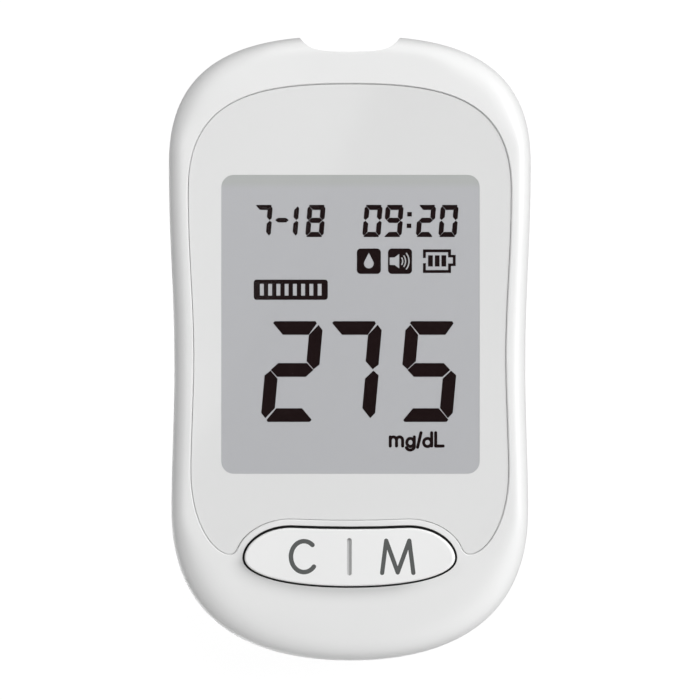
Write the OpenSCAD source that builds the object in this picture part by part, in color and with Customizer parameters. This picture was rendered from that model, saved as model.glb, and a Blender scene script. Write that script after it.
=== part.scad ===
// Blood glucose meter with a glossy display panel, a rocking two-way key and a sliding battery door.
// It lies on its back: +X is the user's right, +Y points to the test strip port, +Z out of the display.
// The origin is on the resting plane, below the middle of the case. All sizes are in millimetres.

/* [Case] */
// Length, from the lower end to the tips on both sides of the notch
body_l = 96; // [95:0.5:98]
// Width across the shoulders
shoulder_w = 55.8; // [55:0.2:58]
// Width across the waist
waist_w = 54.1; // [50:0.1:55]
// Width across the hips
hip_w = 55; // [52:0.2:58]
// Height of the shoulders' widest place above mid length
shoulder_y = 28.8; // [26:0.2:30]
// Place of the waist, from mid length
waist_y = -3; // [-6:0.5:2]
// Place of the hips, from mid length
hip_y = -24.9; // [-27:0.1:-23]
// Wall of both covers
wall = 1.8; // [1.6:0.1:2]
// Reach of the front edge's rounding, sideways
front_edge = 3; // [2.4:0.1:3.2]
// Height of the front edge's rounding
front_edge_h = 5; // [4:0.2:6]
// Reach of the back edge's rounding, sideways
back_edge = 4.5; // [3.5:0.1:4.6]
// Height of the back edge's rounding
back_edge_h = 6; // [5:0.2:7]

/* [Notch and strip port] */
// Width of the notch at its tips
notch_w = 15.8; // [14:0.2:18]
// Depth of the notch below the tips
notch_d = 2; // [1.6:0.1:2.4]
// Width of the slot for the test strip
slot_w = 8.6; // [7.6:0.2:9.6]
// Height of the slot for the test strip
slot_h = 2; // [1.6:0.1:2.2]
// Width of the strip connector
port_w = 12; // [11:0.5:13]
// Length of the strip connector
port_l = 12; // [10:0.5:12.5]
// Height of the strip connector
port_h = 3.4; // [3.2:0.1:3.6]
// Width of the connector's channel
channel_w = 7.2; // [6.4:0.2:8]
// Height of the connector's channel
channel_h = 0.9; // [0.8:0.05:1.1]
// Number of spring contacts
contact_count = 6; // [4:1:7]
// Spacing of the spring contacts
contact_pitch = 1; // [0.8:0.05:1]
// Width of one spring contact
contact_w = 0.5; // [0.4:0.05:0.6]
// Thickness of one spring contact
contact_t = 0.2; // [0.15:0.05:0.25]

/* [Display] */
// Thickness of the clear display lens
lens_t = 1; // [0.8:0.1:1.2]
// Thickness of the tape under the lens
tape_t = 0.2; // [0.15:0.05:0.3]
// Thickness of the cover's seat under the tape
seat_t = 1.2; // [1:0.1:1.3]
// Width of the rim beside the lens
rim_w = 3; // [2.8:0.1:3.4]
// Width of the rim above the lens, from the tips of the notch
rim_top = 7; // [6:0.2:8]
// Gap all round the lens
lens_gap = 0.26; // [0.2:0.02:0.4]
// Width of the viewing window
window_w = 39.8; // [38:0.2:41]
// Length of the viewing window
window_l = 46; // [44:0.2:47]
// Place of the window's middle
window_y = 3.9; // [3:0.1:4.6]
// Width of the display glass
glass_w = 43.4; // [43:0.1:44]
// Length of the display glass
glass_l = 50.4; // [50:0.1:51]
// Thickness of each of the two glass plates
glass_t = 0.6; // [0.5:0.05:0.7]
// Thickness of the films on the glass
film_t = 0.2; // [0.15:0.05:0.25]
// Width of the ledge where the glass meets the elastic connector
ledge_w = 2.4; // [2.2:0.1:2.8]
// Wall of the display's holder
holder_wall = 0.6; // [0.5:0.05:0.8]

/* [Key] */
// Width of the key, at the middle of its gap
key_w = 32.8; // [31:0.2:34]
// Height of the key's line of tips, from mid length
key_y = -32.1; // [-32.6:0.1:-31.6]
// Reach of the key above that line
key_up = 4.8; // [4.4:0.1:4.9]
// Reach of the key below that line
key_down = 4.55; // [4.2:0.05:4.8]
// Gap all round the key
key_gap = 0.4; // [0.36:0.02:0.6]
// Rise of the key above the front face
key_rise = 0.5; // [0.3:0.05:0.8]
// Wall of the key's top
key_top = 1.3; // [1:0.1:1.6]
// Length of the groove between the key's two marks
groove_l = 5.7; // [5:0.1:6.4]
// Width of that groove
groove_w = 0.7; // [0.5:0.05:1]
// Depth of that groove
groove_d = 0.3; // [0.2:0.05:0.5]
// Width of the lip between key and lens
lip_w = 1.12; // [0.9:0.02:1.4]
// Distance of each plunger from the middle
plunger_x = 9.5; // [8:0.5:11]
// Radius of the plungers
plunger_r = 1.6; // [1.2:0.1:1.8]
// Radius of the trunnion pins
trunnion_r = 0.7; // [0.6:0.05:0.8]
// Reach of the key's flange beyond its gap
flange_w = 0.9; // [0.6:0.1:1]
// Thickness of the key's flange
flange_t = 0.9; // [0.7:0.05:1]
// Thickness of the silicone mat
mat_t = 0.6; // [0.5:0.05:0.7]
// Height of the mat's domes
dome_h = 0.4; // [0.3:0.05:0.5]
// Radius of the contact pills
pill_r = 1.5; // [1.2:0.1:1.8]
// Thickness of the contact pills
pill_t = 0.3; // [0.2:0.05:0.3]

/* [Board] */
// Thickness of the circuit board
board_t = 1; // [0.8:0.1:1.2]
// Space from the board to the seat of the lens
board_drop = 3.3; // [3.3:0.1:3.4]
// Distance of the board's edge from the outside of the case
board_inset = 2.6; // [2.4:0.1:3]
// Space between the board and the roof of the battery bay
board_clear = 0.6; // [0.5:0.1:1.2]
// Side of the microcontroller's body
chip_side = 10; // [7:0.5:12]
// Thickness of the microcontroller's body
chip_t = 0.9; // [0.7:0.1:1]
// Width of the radio module
radio_w = 11; // [9:0.5:13]
// Length of the radio module
radio_l = 14; // [12:0.5:16]
// Thickness of the radio module's own board
radio_t = 0.8; // [0.6:0.1:1]
// Height of the radio module's shield
shield_h = 1.5; // [1.2:0.1:1.8]
// Radius of the buzzer
buzzer_r = 4.8; // [4:0.2:5]
// Height of the buzzer
buzzer_h = 3; // [2:0.2:4]
// Radius of each sound hole
sound_hole_r = 0.6; // [0.4:0.05:0.8]

/* [Battery] */
// Diameter of one cell
cell_d = 10.5; // [10.3:0.1:10.5]
// Length of one cell with its button
cell_l = 44.5; // [44:0.1:44.6]
// Length of each battery spring as fitted
spring_l = 4.2; // [4:0.1:4.4]
// Thickness of the spring wire
spring_wire = 0.6; // [0.5:0.05:0.6]
// Thickness of the contact plates
plate_t = 0.3; // [0.25:0.05:0.4]
// Wall round the battery bay
bay_wall = 1.2; // [1:0.1:1.4]
// Thickness of the bay's roof
bay_roof = 1; // [0.8:0.1:1.2]
// Place of the lower end of the bay, from mid length
bay_low = -42.6; // [-42.8:0.1:-42.2]
// Thickness of the battery door
door_t = 1.6; // [1.4:0.1:1.6]
// Reach of the door beyond each side of the bay
door_side = 0.9; // [0.7:0.1:1.2]
// Reach of the door beyond the upper end of the bay
door_end = 4.7; // [4:0.1:6]
// Reach of the tongues on the door's sides
tongue_w = 1.2; // [1:0.1:1.4]
// Gap round the door
door_gap = 0.25; // [0.2:0.02:0.35]

/* [Fasteners] */
// Radius of the case screws' shank
case_screw_r = 1; // [0.9:0.05:1.1]
// Length of the case screws' shank
case_screw_l = 7.8; // [7:0.2:8]
// Radius of the case screws' head
case_head_r = 1.9; // [1.8:0.05:2]
// Radius of the board screws' shank
board_screw_r = 0.7; // [0.6:0.05:0.8]
// Radius of the board screws' head
board_head_r = 1.5; // [1.3:0.05:1.6]

/* [Hidden] */
$fn = 48;

eps = 0.01;
fit = 0.05;          // closest approach of two pieces that seat on each other
far = 200;           // larger than the whole object

// Heights from the back face up: door, cell, roof of the bay, board, display, seat, tape, lens
cell_clear = 0.3;
cell_z = door_t + cell_clear + cell_d / 2;
bay_top = cell_z + cell_d / 2 + cell_clear;
board_low = bay_top + bay_roof + board_clear;
board_top = board_low + board_t;
web_z = board_top + board_drop;         // underside of the seat
bed_z = web_z + seat_t;                 // floor of the recess for the lens
body_h = bed_z + tape_t + lens_t;       // front face
// The strip's channel in its connector, the slot before it and the parting line, which ends the slot
channel_floor = 1.05;
channel_z = board_low - port_h + channel_floor;
slot_z = channel_z - (slot_h - channel_h) / 2;
split_z = slot_z;
// The bay along and across the case
dimple_h = 0.5;
cell_side = 0.4;                        // from a cell to the middle plane
cell_x = cell_d / 2 + cell_side;
bay_half = cell_x + cell_d / 2 + 1.5 * cell_side;
bay_l = cell_l + spring_l + 2 * plate_t + 4 * fit + dimple_h;
bay_high = bay_low + bay_l;
door_w = 2 * (bay_half + door_side);
door_high = bay_high + door_end;

// ---- Curves -------------------------------------------------------------------------------

function bez(a, b, c, d, t) =
    pow(1 - t, 3) * a + 3 * t * pow(1 - t, 2) * b + 3 * t * t * (1 - t) * c + pow(t, 3) * d;
// A run of points along one curve, without its last point
function run(a, b, c, d, n) = [for (i = [0 : n - 1]) bez(a, b, c, d, i / n)];
// A right half from bottom to top becomes a closed outline
function both_sides(half) = concat(
    half, [for (i = [len(half) - 2 : -1 : 1]) [-half[i].x, half[i].y]]);
function unit(v) = v / norm(v);
// Outward normal of a closed outline that runs anticlockwise
function normal(p, i) =
    let (n = len(p), t = unit(p[(i + 1) % n] - p[(i + n - 1) % n])) [t.y, -t.x];
// The outline moved outward by d
function grown(p, d) = [for (i = [0 : len(p) - 1]) p[i] + d * normal(p, i)];

crown = 0.35;        // rise of the case's outline above the notch's tips, if it ran on
end_n = 16;          // steps on a round end
side_n = 6;          // steps on a side
case_half = concat(
    run([0, -body_l / 2], [14.3, -body_l / 2], [hip_w / 2, hip_y - 17.9], [hip_w / 2, hip_y], end_n),
    run([hip_w / 2, hip_y], [hip_w / 2, hip_y + 7.4], [waist_w / 2, waist_y - 7.4],
        [waist_w / 2, waist_y], side_n),
    run([waist_w / 2, waist_y], [waist_w / 2, waist_y + 13.1], [shoulder_w / 2, shoulder_y - 13.2],
        [shoulder_w / 2, shoulder_y], side_n),
    run([shoulder_w / 2, shoulder_y], [shoulder_w / 2, shoulder_y + 17.5],
        [13.7, body_l / 2 + crown], [0, body_l / 2 + crown], end_n),
    [[0, body_l / 2 + crown]]);
case_line = both_sides(case_half);

// The key: nearly straight above, bowed below, with blunt tips
key_flat = 9;        // half length of its straight upper edge
key_half = concat(
    run([0, key_y - key_down], [8.9, key_y - key_down], [key_w / 2, key_y - 3.1],
        [key_w / 2, key_y], 14),
    run([key_w / 2, key_y], [key_w / 2, key_y + 2.1], [key_flat + 4.5, key_y + key_up],
        [key_flat, key_y + key_up], 14),
    [[key_flat, key_y + key_up], [0, key_y + key_up - 0.2]]);
key_line = both_sides(key_half);

// The lens: it follows the case at the sides and the key below, with a lobe on each side of the key
lens_top = body_l / 2 - rim_top;
lobe = [key_w / 2 + lip_w + 0.67, key_y + 0.5];
lip_edge = [for (p = grown(key_line, lip_w)) if (p.x > eps && p.y > key_y + 1.9) p];
lip_up = [for (i = [len(lip_edge) - 1 : -1 : 0]) lip_edge[i]];
lens_half = concat(
    [[0, key_y + key_up - 0.2 + lip_w]], lip_up,
    run(lip_up[len(lip_up) - 1] + [0.25, -0.5], lobe + [-0.8, 0.35], lobe + [-0.6, 0], lobe, 5),
    run(lobe, lobe + [2.2, 0], [hip_w / 2 - rim_w, hip_y - 2.5], [hip_w / 2 - rim_w, hip_y + 6.3], end_n),
    run([hip_w / 2 - rim_w, hip_y + 6.3], [hip_w / 2 - rim_w, hip_y + 10],
        [waist_w / 2 - rim_w, waist_y - 3.2], [waist_w / 2 - rim_w, waist_y + 1.4], side_n),
    run([waist_w / 2 - rim_w, waist_y + 1.4], [waist_w / 2 - rim_w, waist_y + 11.6],
        [shoulder_w / 2 - rim_w, shoulder_y - 15.6], [shoulder_w / 2 - rim_w, shoulder_y - 4.1], side_n),
    run([shoulder_w / 2 - rim_w, shoulder_y - 4.1], [shoulder_w / 2 - rim_w, shoulder_y + 10.5],
        [13.4, lens_top], [0, lens_top], end_n),
    [[0, lens_top]]);
lens_line = both_sides(lens_half);

// The notch, open at the top
notch_y = body_l / 2 - notch_d;         // its floor
notch_half = concat(
    run([0, notch_y], [5.2 / 7.9 * notch_w / 2, notch_y], [6.3 / 7.9 * notch_w / 2, notch_y + 0.3],
        [notch_w / 2, body_l / 2 + 0.05], 10),
    [[notch_w / 2, body_l / 2 + 0.05], [notch_w / 2 + 1.6, body_l / 2 + 2]]);
notch_line = concat(notch_half,
    [for (i = [len(notch_half) - 1 : -1 : 1]) [-notch_half[i].x, notch_half[i].y]]);
notch_back = notch_y - wall;            // inner face of the wall behind the notch
notch_reach = notch_w / 2 + 2.1;        // half width of that wall

// ---- Shared shapes ------------------------------------------------------------------------

// A closed body through copies of one outline. Each level is [distance moved inward, height].
module loft(line, levels) {
    n = len(line);
    m = len(levels);
    points = [for (l = levels) for (p = grown(line, -l[0])) [p.x, p.y, l[1]]];
    sides = [for (k = [0 : m - 2]) for (i = [0 : n - 1]) for (half = [0, 1])
        let (a = k * n + i, b = k * n + (i + 1) % n)
        half == 0 ? [a, b + n, b] : [a, a + n, b + n]];
    floor_face = [for (i = [0 : n - 1]) i];
    top_face = [for (i = [n - 1 : -1 : 0]) (m - 1) * n + i];
    polyhedron(points, concat([floor_face], sides, [top_face]));
}

// A box centred in X and Y, standing on z
module block(w, l, h, x = 0, y = 0, z = 0) {
    translate([x - w / 2, y - l / 2, z]) cube([w, l, h]);
}

// A plate with round corners, standing on z
module plate(w, l, h, r, x = 0, y = 0, z = 0) {
    translate([x, y, z]) {
        block(w - 2 * r, l, h);
        block(w, l - 2 * r, h);
        for (sx = [-1, 1], sy = [-1, 1])
            translate([sx * (w / 2 - r), sy * (l / 2 - r), 0]) cylinder(h = h, r = r);
    }
}

// A straight-sided body over an outline
module prism(line, z0, z1) {
    translate([0, 0, z0]) linear_extrude(z1 - z0) polygon(line);
}

module both_x() {
    children();
    mirror([1, 0, 0]) children();
}

round_steps = [for (a = [15 : 15 : 90]) a];
// Outside and inside of the front cover, from the parting line up
function front_levels() = concat(
    [[0, split_z], [0, body_h - front_edge_h]],
    [for (a = round_steps) [front_edge * (1 - cos(a)), body_h - front_edge_h * (1 - sin(a))]]);
inner_edge_h = web_z - (body_h - front_edge_h);
function front_core_levels() = concat(
    [[wall, split_z - 1], [wall, body_h - front_edge_h]],
    [for (a = round_steps) [wall + front_edge * (1 - cos(a)), web_z - inner_edge_h * (1 - sin(a))]]);
// Outside and inside of the rear cover, from the back face up
function back_levels(top) = concat(
    [for (a = [90 : -15 : 15]) [back_edge * (1 - cos(a)), back_edge_h * (1 - sin(a))]],
    [[0, back_edge_h], [0, top]]);
function back_core_levels(top) = concat(
    [for (a = [90 : -15 : 15])
        [wall + back_edge * (1 - cos(a)), wall + (back_edge_h - wall) * (1 - sin(a))]],
    [[wall, back_edge_h], [wall, top]]);

module notch_cut() {
    prism(notch_line, -1, body_h + 1);
}

// The wall that closes the case behind the notch
module notch_wall(z0, z1) {
    block(2 * notch_reach, body_l, z1 - z0, 0, notch_back + body_l / 2, z0);
}

// The lip that keeps the covers in line, and its rebate
lip_t = 0.8;
lip_h = 1;
module cover_lip(outset, h) {
    difference() {
        prism(grown(case_line, -(wall - lip_t - outset)), split_z - eps, split_z + h);
        prism(grown(case_line, -(wall + 0.3 * outset)), split_z - 1, split_z + h + 1);
        block(2 * (notch_reach + 0.6), body_l, body_h, 0, notch_back - 3 + body_l / 2, 0);
    }
}

// ---- Places that several pieces share --------------------------------------------------------------------

glass_y = window_y + 0.75;
glass_play = 0.1;
holder_high = glass_y + glass_l / 2 + glass_play + holder_wall;
holder_low = glass_y - glass_l / 2 - glass_play - holder_wall;
case_screw_at = [[20.5, body_l / 2 - 12], [19.5, 13.5 - body_l / 2]];
board_screw_at = [[13, holder_high + 7.5], [20.5, holder_low - 4.7]];
head_h = 1.4;
head_seat = 4.4;                 // height where the case screws' heads bear
boss_meet = 9;                   // height where the bosses of the covers meet
screw_play = 0.02;
board_head_h = 0.8;
board_bite = 2.2;                // reach of the board screws into their bosses
board_screw_l = board_t + board_bite;

module at_each(places) {
    for (p = places, s = [-1, 1]) translate([s * p.x, p.y, 0]) children();
}

// ---- Front --------------------------------------------------------------------------------

pivot_z = web_z - 1.45;          // height of the key's rocking axis
trunnion_l = 1.6;
lug_gap = 0.3;
lug_t = 1.4;
lug_w = 3.6;
// Outer faces of the key's flange, above and below its axis
flange_ends = [key_y + key_up - 0.2 + flange_w, key_y - key_down - flange_w];

module front_cover() {
    color("white") difference() {
        union() {
            difference() {
                loft(case_line, front_levels());
                difference() {
                    loft(case_line, front_core_levels());
                    notch_wall(split_z - 2, body_h);
                }
                cover_lip(0.1, lip_h + 0.1);
            }
            at_each(case_screw_at) translate([0, 0, boss_meet + fit])
                cylinder(h = web_z - boss_meet, r = case_screw_r + 1.3);
            at_each(board_screw_at) translate([0, 0, board_top])
                cylinder(h = web_z - board_top + eps, r = board_screw_r + 1.1);
            lug(flange_ends[0] + lug_gap + lug_t / 2);
            lug(flange_ends[1] - lug_gap - lug_t / 2);
        }
        prism(grown(lens_line, lens_gap / 2), bed_z, body_h + 1);
        plate(window_w + 1.6, window_l + 1.6, seat_t + 2, 2.5, 0, window_y, web_z - 1);
        prism(grown(key_line, key_gap / 2), pivot_z - 1, body_h + 1);
        notch_cut();
        block(slot_w, 2 * wall + 2, slot_h + 1, 0, notch_y - wall / 2, slot_z - 1);
        at_each(case_screw_at)
            cylinder(h = head_seat + case_screw_l + 0.4, r = case_screw_r + screw_play);
        at_each(board_screw_at)
            cylinder(h = board_low + board_screw_l + 0.3, r = board_screw_r + screw_play);
    }
}

// One of the two snap bearings that carry the key's trunnions
module lug(y) {
    difference() {
        block(lug_w, lug_t, web_z - (pivot_z - trunnion_r - 0.5) + eps, 0, y, pivot_z - trunnion_r - 0.5);
        translate([0, y + lug_t, pivot_z]) rotate([90, 0, 0]) cylinder(h = 2 * lug_t, r = trunnion_r + fit);
        block(1.6 * trunnion_r, 2 * lug_t, 1.5, 0, y, pivot_z - 1.6);
    }
}

module display_lens() {
    color("lightgray") prism(grown(lens_line, -lens_gap / 2), body_h - lens_t, body_h);
}

module lens_tape() {
    color("dimgray") difference() {
        prism(grown(lens_line, -0.6), bed_z, bed_z + tape_t);
        plate(window_w + 2.4, window_l + 2.4, 2, 2.9, 0, window_y, bed_z - 1);
    }
}

// ---- Key ----------------------------------------------------------------------------------

dome_z = board_top + mat_t + dome_h;    // top of the mat's domes
key_face = body_h + key_rise;
key_wall = 1.4;
groove_y = key_y + 0.15;

module key_cap() {
    edge = 0.55;
    color("whitesmoke") {
        difference() {
            union() {
                loft(key_line, concat([[key_gap / 2, pivot_z], [key_gap / 2, key_face - edge]],
                    [for (a = [30 : 30 : 90])
                        [key_gap / 2 + edge * (1 - cos(a)), key_face - edge * (1 - sin(a))]]));
                prism(grown(key_line, flange_w), pivot_z - flange_t / 2, pivot_z + flange_t / 2);
            }
            prism(grown(key_line, -key_wall), pivot_z - flange_t, key_face - key_top);
            plate(groove_w, groove_l, 1 + groove_d, groove_w / 2 - eps, 0, groove_y, key_face - groove_d);
        }
        for (s = [-1, 1]) translate([s * plunger_x, key_y, dome_z + fit])
            cylinder(h = key_face - key_top - dome_z, r = plunger_r);
        for (s = [0, 1]) {
            reach = flange_w + key_wall + trunnion_l;
            translate([0, flange_ends[s] + (s == 0 ? trunnion_l : reach - trunnion_l), pivot_z])
                rotate([90, 0, 0]) cylinder(h = reach, r = trunnion_r);
        }
    }
}

module key_mat() {
    color("gainsboro") difference() {
        union() {
            plate(2 * plunger_x + 9, key_up + key_down - 0.9, mat_t, 2, 0, key_y, board_top);
            for (s = [-1, 1]) translate([s * plunger_x, key_y, board_top + mat_t])
                cylinder(h = dome_h, r1 = plunger_r + 1.6, r2 = plunger_r + 0.6);
        }
        for (s = [-1, 1]) translate([s * plunger_x, key_y, board_top - 1])
            cylinder(h = 1 + mat_t - fit, r = pill_r + 0.9);
    }
}

module carbon_pills() {
    color("black") for (s = [-1, 1]) translate([s * plunger_x, key_y, board_top + mat_t - fit - pill_t])
        cylinder(h = pill_t, r = pill_r);
}

// ---- Display ------------------------------------------------------------------------------

polariser_top = web_z - 0.2;
glass_top = polariser_top - film_t;
glass_low = glass_top - 2 * glass_t;
holder_ledge = glass_low - film_t - fit;  // floor that carries the glass

module front_polariser() {
    color("darkseagreen") block(window_w + 2.4, window_l + 1.9, film_t, 0, window_y, glass_top);
}

module lcd_glass() {
    color("silver") {
        block(glass_w, glass_l, glass_t, 0, glass_y, glass_top - glass_t);
        block(glass_w, glass_l - ledge_w, glass_t + eps, 0, glass_y - ledge_w / 2, glass_low);
    }
}

module rear_reflector() {
    color("lightgray")
        block(glass_w - 1.4, glass_l - ledge_w - 1.4, film_t, 0, glass_y - ledge_w / 2, glass_low - film_t);
}

module lcd_holder() {
    outer_w = glass_w + 2 * (glass_play + holder_wall);
    outer_l = glass_l + 2 * (glass_play + holder_wall);
    color("white") difference() {
        plate(outer_w, outer_l, polariser_top - board_top, 1, 0, glass_y, board_top);
        block(glass_w + 2 * glass_play, glass_l + 2 * glass_play, far, 0, glass_y, holder_ledge);
        block(glass_w - 5, glass_l - ledge_w - 6, far, 0, glass_y - ledge_w / 2, board_top - 1);
        block(glass_w - 2.4, connector_w + 0.2, far, 0, connector_y, board_top - 1);
    }
}

connector_w = 1.8;
connector_y = glass_y + glass_l / 2 - ledge_w / 2;
module elastic_connector() {
    color("dimgray")
        block(glass_w - 3, connector_w, glass_top - glass_t - fit - board_top, 0, connector_y, board_top);
}

// ---- Board --------------------------------------------------------------------------------

module main_board() {
    color("darkgreen") difference() {
        prism(grown(case_line, -board_inset), board_low, board_top);
        block(2 * notch_reach + 0.6, body_l, far, 0, notch_back - 0.3 + body_l / 2, 0);
        at_each(case_screw_at) cylinder(h = body_h, r = case_screw_r + 2.7);
        at_each(board_screw_at) cylinder(h = body_h, r = board_screw_r + 0.15);
    }
}

pin_l = 1.1;
pin_w = 0.35;
pin_t = 0.4;
module microcontroller() {
    color("black") {
        block(chip_side, chip_side, chip_t, 0, window_y, board_top + pin_t / 4);
        for (turn = [0 : 90 : 270], i = [-5 : 5])
            translate([0, window_y, board_top]) rotate([0, 0, turn])
                block(pin_l, pin_w, pin_t, (chip_side + pin_l) / 2 - eps, i * chip_side / 12.5, 0);
    }
}

// Small parts under the board, up the case from the bay
part_l = 2;
part_w = 1.25;
part_t = 0.8;
part_at = [[-8, 6.7], [-8, 10.7], [-3, 6.7], [-3, 10.7], [-20, 7.7], [-20, 10.7], [19, 16.7], [19, 19.7]];
module chip_parts() {
    color("tan") for (p = part_at) block(part_l, part_w, part_t, p.x, bay_high + p.y, board_low - part_t);
}

crystal_l = 8;
crystal_w = 3.4;
crystal_h = 1.6;
module quartz_crystal() {
    color("silver") plate(crystal_l, crystal_w, crystal_h, crystal_w / 2 - 0.1, -14, bay_high + 9.2,
        board_low - crystal_h);
}

radio_x = 10;
radio_y = bay_high + 12.2;
module radio_module() {
    color("seagreen") block(radio_w, radio_l, radio_t, radio_x, radio_y, board_low - radio_t);
}

module radio_shield() {
    color("silver")
        block(radio_w - 2, radio_l - 4.4, shield_h, radio_x, radio_y + 1.4, board_low - radio_t - shield_h);
}

buzzer_port_r = 1;
buzzer_x = -13.5;
buzzer_y = bay_high + 18.7;
module buzzer() {
    color("black") translate([buzzer_x, buzzer_y, board_low - buzzer_h]) difference() {
        cylinder(h = buzzer_h, r = buzzer_r);
        translate([0, 0, -buzzer_port_r]) cylinder(h = 2 * buzzer_port_r, r = buzzer_port_r);
    }
}

// ---- Strip port ---------------------------------------------------------------------------

port_mouth = notch_back - 0.3;
port_mid = port_mouth - port_l / 2;
channel_l = port_l - 2;
module strip_port() {
    color("dimgray") difference() {
        block(port_w, port_l, port_h, 0, port_mid, board_low - port_h);
        block(channel_w, channel_l + 1, channel_h, 0, port_mouth - channel_l / 2 + 0.5, channel_z);
        for (i = [0 : contact_count - 1])
            block(contact_w + 0.2, far, 10,
                contact_x(i), port_mouth - 3 - far / 2, channel_z + channel_h - 0.1);
    }
}

function contact_x(i) = (i - (contact_count - 1) / 2) * contact_pitch;
module strip_contacts() {
    rear = port_mouth - port_l;
    high = board_low - contact_t;
    tip = port_mouth - 4;
    color("gold") for (i = [0 : contact_count - 1])
        translate([contact_x(i) + contact_w / 2, 0, 0]) rotate([0, -90, 0]) linear_extrude(contact_w)
            polygon([[high, rear - 1.4], [high + contact_t - eps, rear - 1.4],
                [high + contact_t - eps, rear + 2], [channel_z + fit + contact_t, tip - 1.6],
                [channel_z + channel_h - contact_t, tip], [channel_z + channel_h - 2 * contact_t, tip],
                [channel_z + fit, tip - 1.6], [high, rear + 1.8]]);
}

// ---- Rear ---------------------------------------------------------------------------------

tongue_t = 0.8;
door_play = 0.15;
rail_top = door_t + door_play + 1.4;
rail_half = door_w / 2 + tongue_w + door_gap + 1.4;
label_w = 26;
label_l = 15;
label_x = 7;
label_y = bay_high + 17.7;

module rear_cover() {
    color("white") difference() {
        union() {
            difference() {
                loft(case_line, back_levels(split_z));
                difference() {
                    loft(case_line, back_core_levels(split_z + 1));
                    notch_wall(-1, body_h);
                }
            }
            cover_lip(0, lip_h);
            intersection() {
                loft(case_line, back_levels(split_z));
                union() {
                    block(2 * rail_half, door_high + 1.6 + body_l / 2 + 2, rail_top, 0,
                        (door_high + 1.6 - body_l / 2 - 2) / 2, 0);
                    at_each(case_screw_at) cylinder(h = boss_meet, r = case_head_r + 1.2);
                }
            }
            block(2 * (bay_half + bay_wall), bay_l + 2 * bay_wall, bay_top + bay_roof - wall, 0,
                bay_low + bay_l / 2, wall);
        }
        block(2 * bay_half, bay_l, bay_top + 1, 0, bay_low + bay_l / 2, -1);
        door_path();
        for (s = [-1, 1])
            block(tab_w + 0.6, plate_t + 0.3, 4, s * cell_x, bay_high - (plate_t + 0.3) / 2, bay_top - 1);
        at_each(case_screw_at) {
            translate([0, 0, -1]) cylinder(h = 1 + head_seat, r = case_head_r + 0.25);
            cylinder(h = body_h, r = case_screw_r + 0.15);
        }
        notch_cut();
        for (p = [[0, 0], [2.4, 0], [-2.4, 0], [0, 2.4], [0, -2.4]])
            translate([buzzer_x + p.x, buzzer_y + p.y, -1]) cylinder(h = wall + 2, r = sound_hole_r);
        plate(label_w, label_l, 1.2, 1.5, label_x, label_y, -1);
    }
}

// The space that the door fills and slides through
module door_path() {
    reach = body_l / 2 + 4;
    block(door_w + 2 * door_gap, door_high + door_gap + reach, door_t + door_play + 1, 0,
        (door_high + door_gap - reach) / 2, -1);
    block(door_w + 2 * (tongue_w + door_gap), door_high + door_gap + reach, tongue_t + 2 * door_play, 0,
        (door_high + door_gap - reach) / 2, door_t - tongue_t - door_play);
}

grip_y = 4.5;
module battery_door() {
    grip_w = 15;
    grip_l = 6;
    color("whitesmoke") {
        difference() {
            union() {
                intersection() {
                    loft(case_line, back_levels(split_z));
                    block(door_w, door_high + body_l / 2 + 2, door_t, 0, (door_high - body_l / 2 - 2) / 2, 0);
                }
                for (y = [door_high - 5, -14, -34])
                    block(door_w + 2 * tongue_w, 8, tongue_t, 0, y, door_t - tongue_t);
            }
            plate(grip_w, grip_l, 1.5, grip_l / 2 - eps, 0, grip_y, -1);
        }
        for (i = [-2 : 2]) block(1, 3.4, 0.45, i * 2.2, grip_y, 0.05);
    }
}

// ---- Battery ------------------------------------------------------------------------------

nub_r = 1.9;
nub_h = 0.8;
plate_w = 9;
plate_drop = 0.8;                // from a plate's ends to the cell's
// The left cell's button points up the case, the right cell's down
left_low = bay_high - plate_t - dimple_h - fit - cell_l;
right_high = bay_low + plate_t + dimple_h + fit + cell_l;

module cell() {
    r = cell_d / 2;
    rotate([-90, 0, 0]) rotate_extrude()
        polygon([[0, 0], [r - 0.5, 0], [r, 0.3], [r, cell_l - nub_h - 0.5], [r - 0.6, cell_l - nub_h],
            [nub_r, cell_l - nub_h], [nub_r, cell_l - 0.15], [nub_r - 0.15, cell_l], [0, cell_l]]);
}

module battery_left() {
    color("steelblue") translate([-cell_x, left_low, cell_z]) cell();
}

module battery_right() {
    color("steelblue") translate([cell_x, right_high, cell_z]) mirror([0, 1, 0]) cell();
}

// One battery spring along +Y: a tapering helix with straight ends
spring_turns = 3;
spring_big = 3.6;
spring_small = 2.5;
spring_rings = 8;
spring_sides = 6;
function spring_centre(k) =
    let (last = spring_turns * spring_rings, a = 360 * k / spring_rings,
        r = spring_big + (spring_small - spring_big) * k / last)
    [r * cos(a), spring_wire + (spring_l - 2 * spring_wire) * k / last, r * sin(a)];
spring_route = let (last = spring_turns * spring_rings) concat(
    [spring_centre(0) - [0, spring_wire, 0]],
    [for (k = [0 : last]) spring_centre(k)],
    [spring_centre(last) + [0, spring_wire, 0]]);
function spring_ring(i) =
    let (last = len(spring_route) - 1, c = spring_route[i],
        t = unit(spring_route[min(i + 1, last)] - spring_route[max(i - 1, 0)]),
        u = unit([c.x, 0, c.z] - t * ([c.x, 0, c.z] * t)), v = cross(t, u))
    [for (s = [0 : spring_sides - 1])
        c + spring_wire / 2 * (cos(360 * s / spring_sides) * u + sin(360 * s / spring_sides) * v)];
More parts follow.
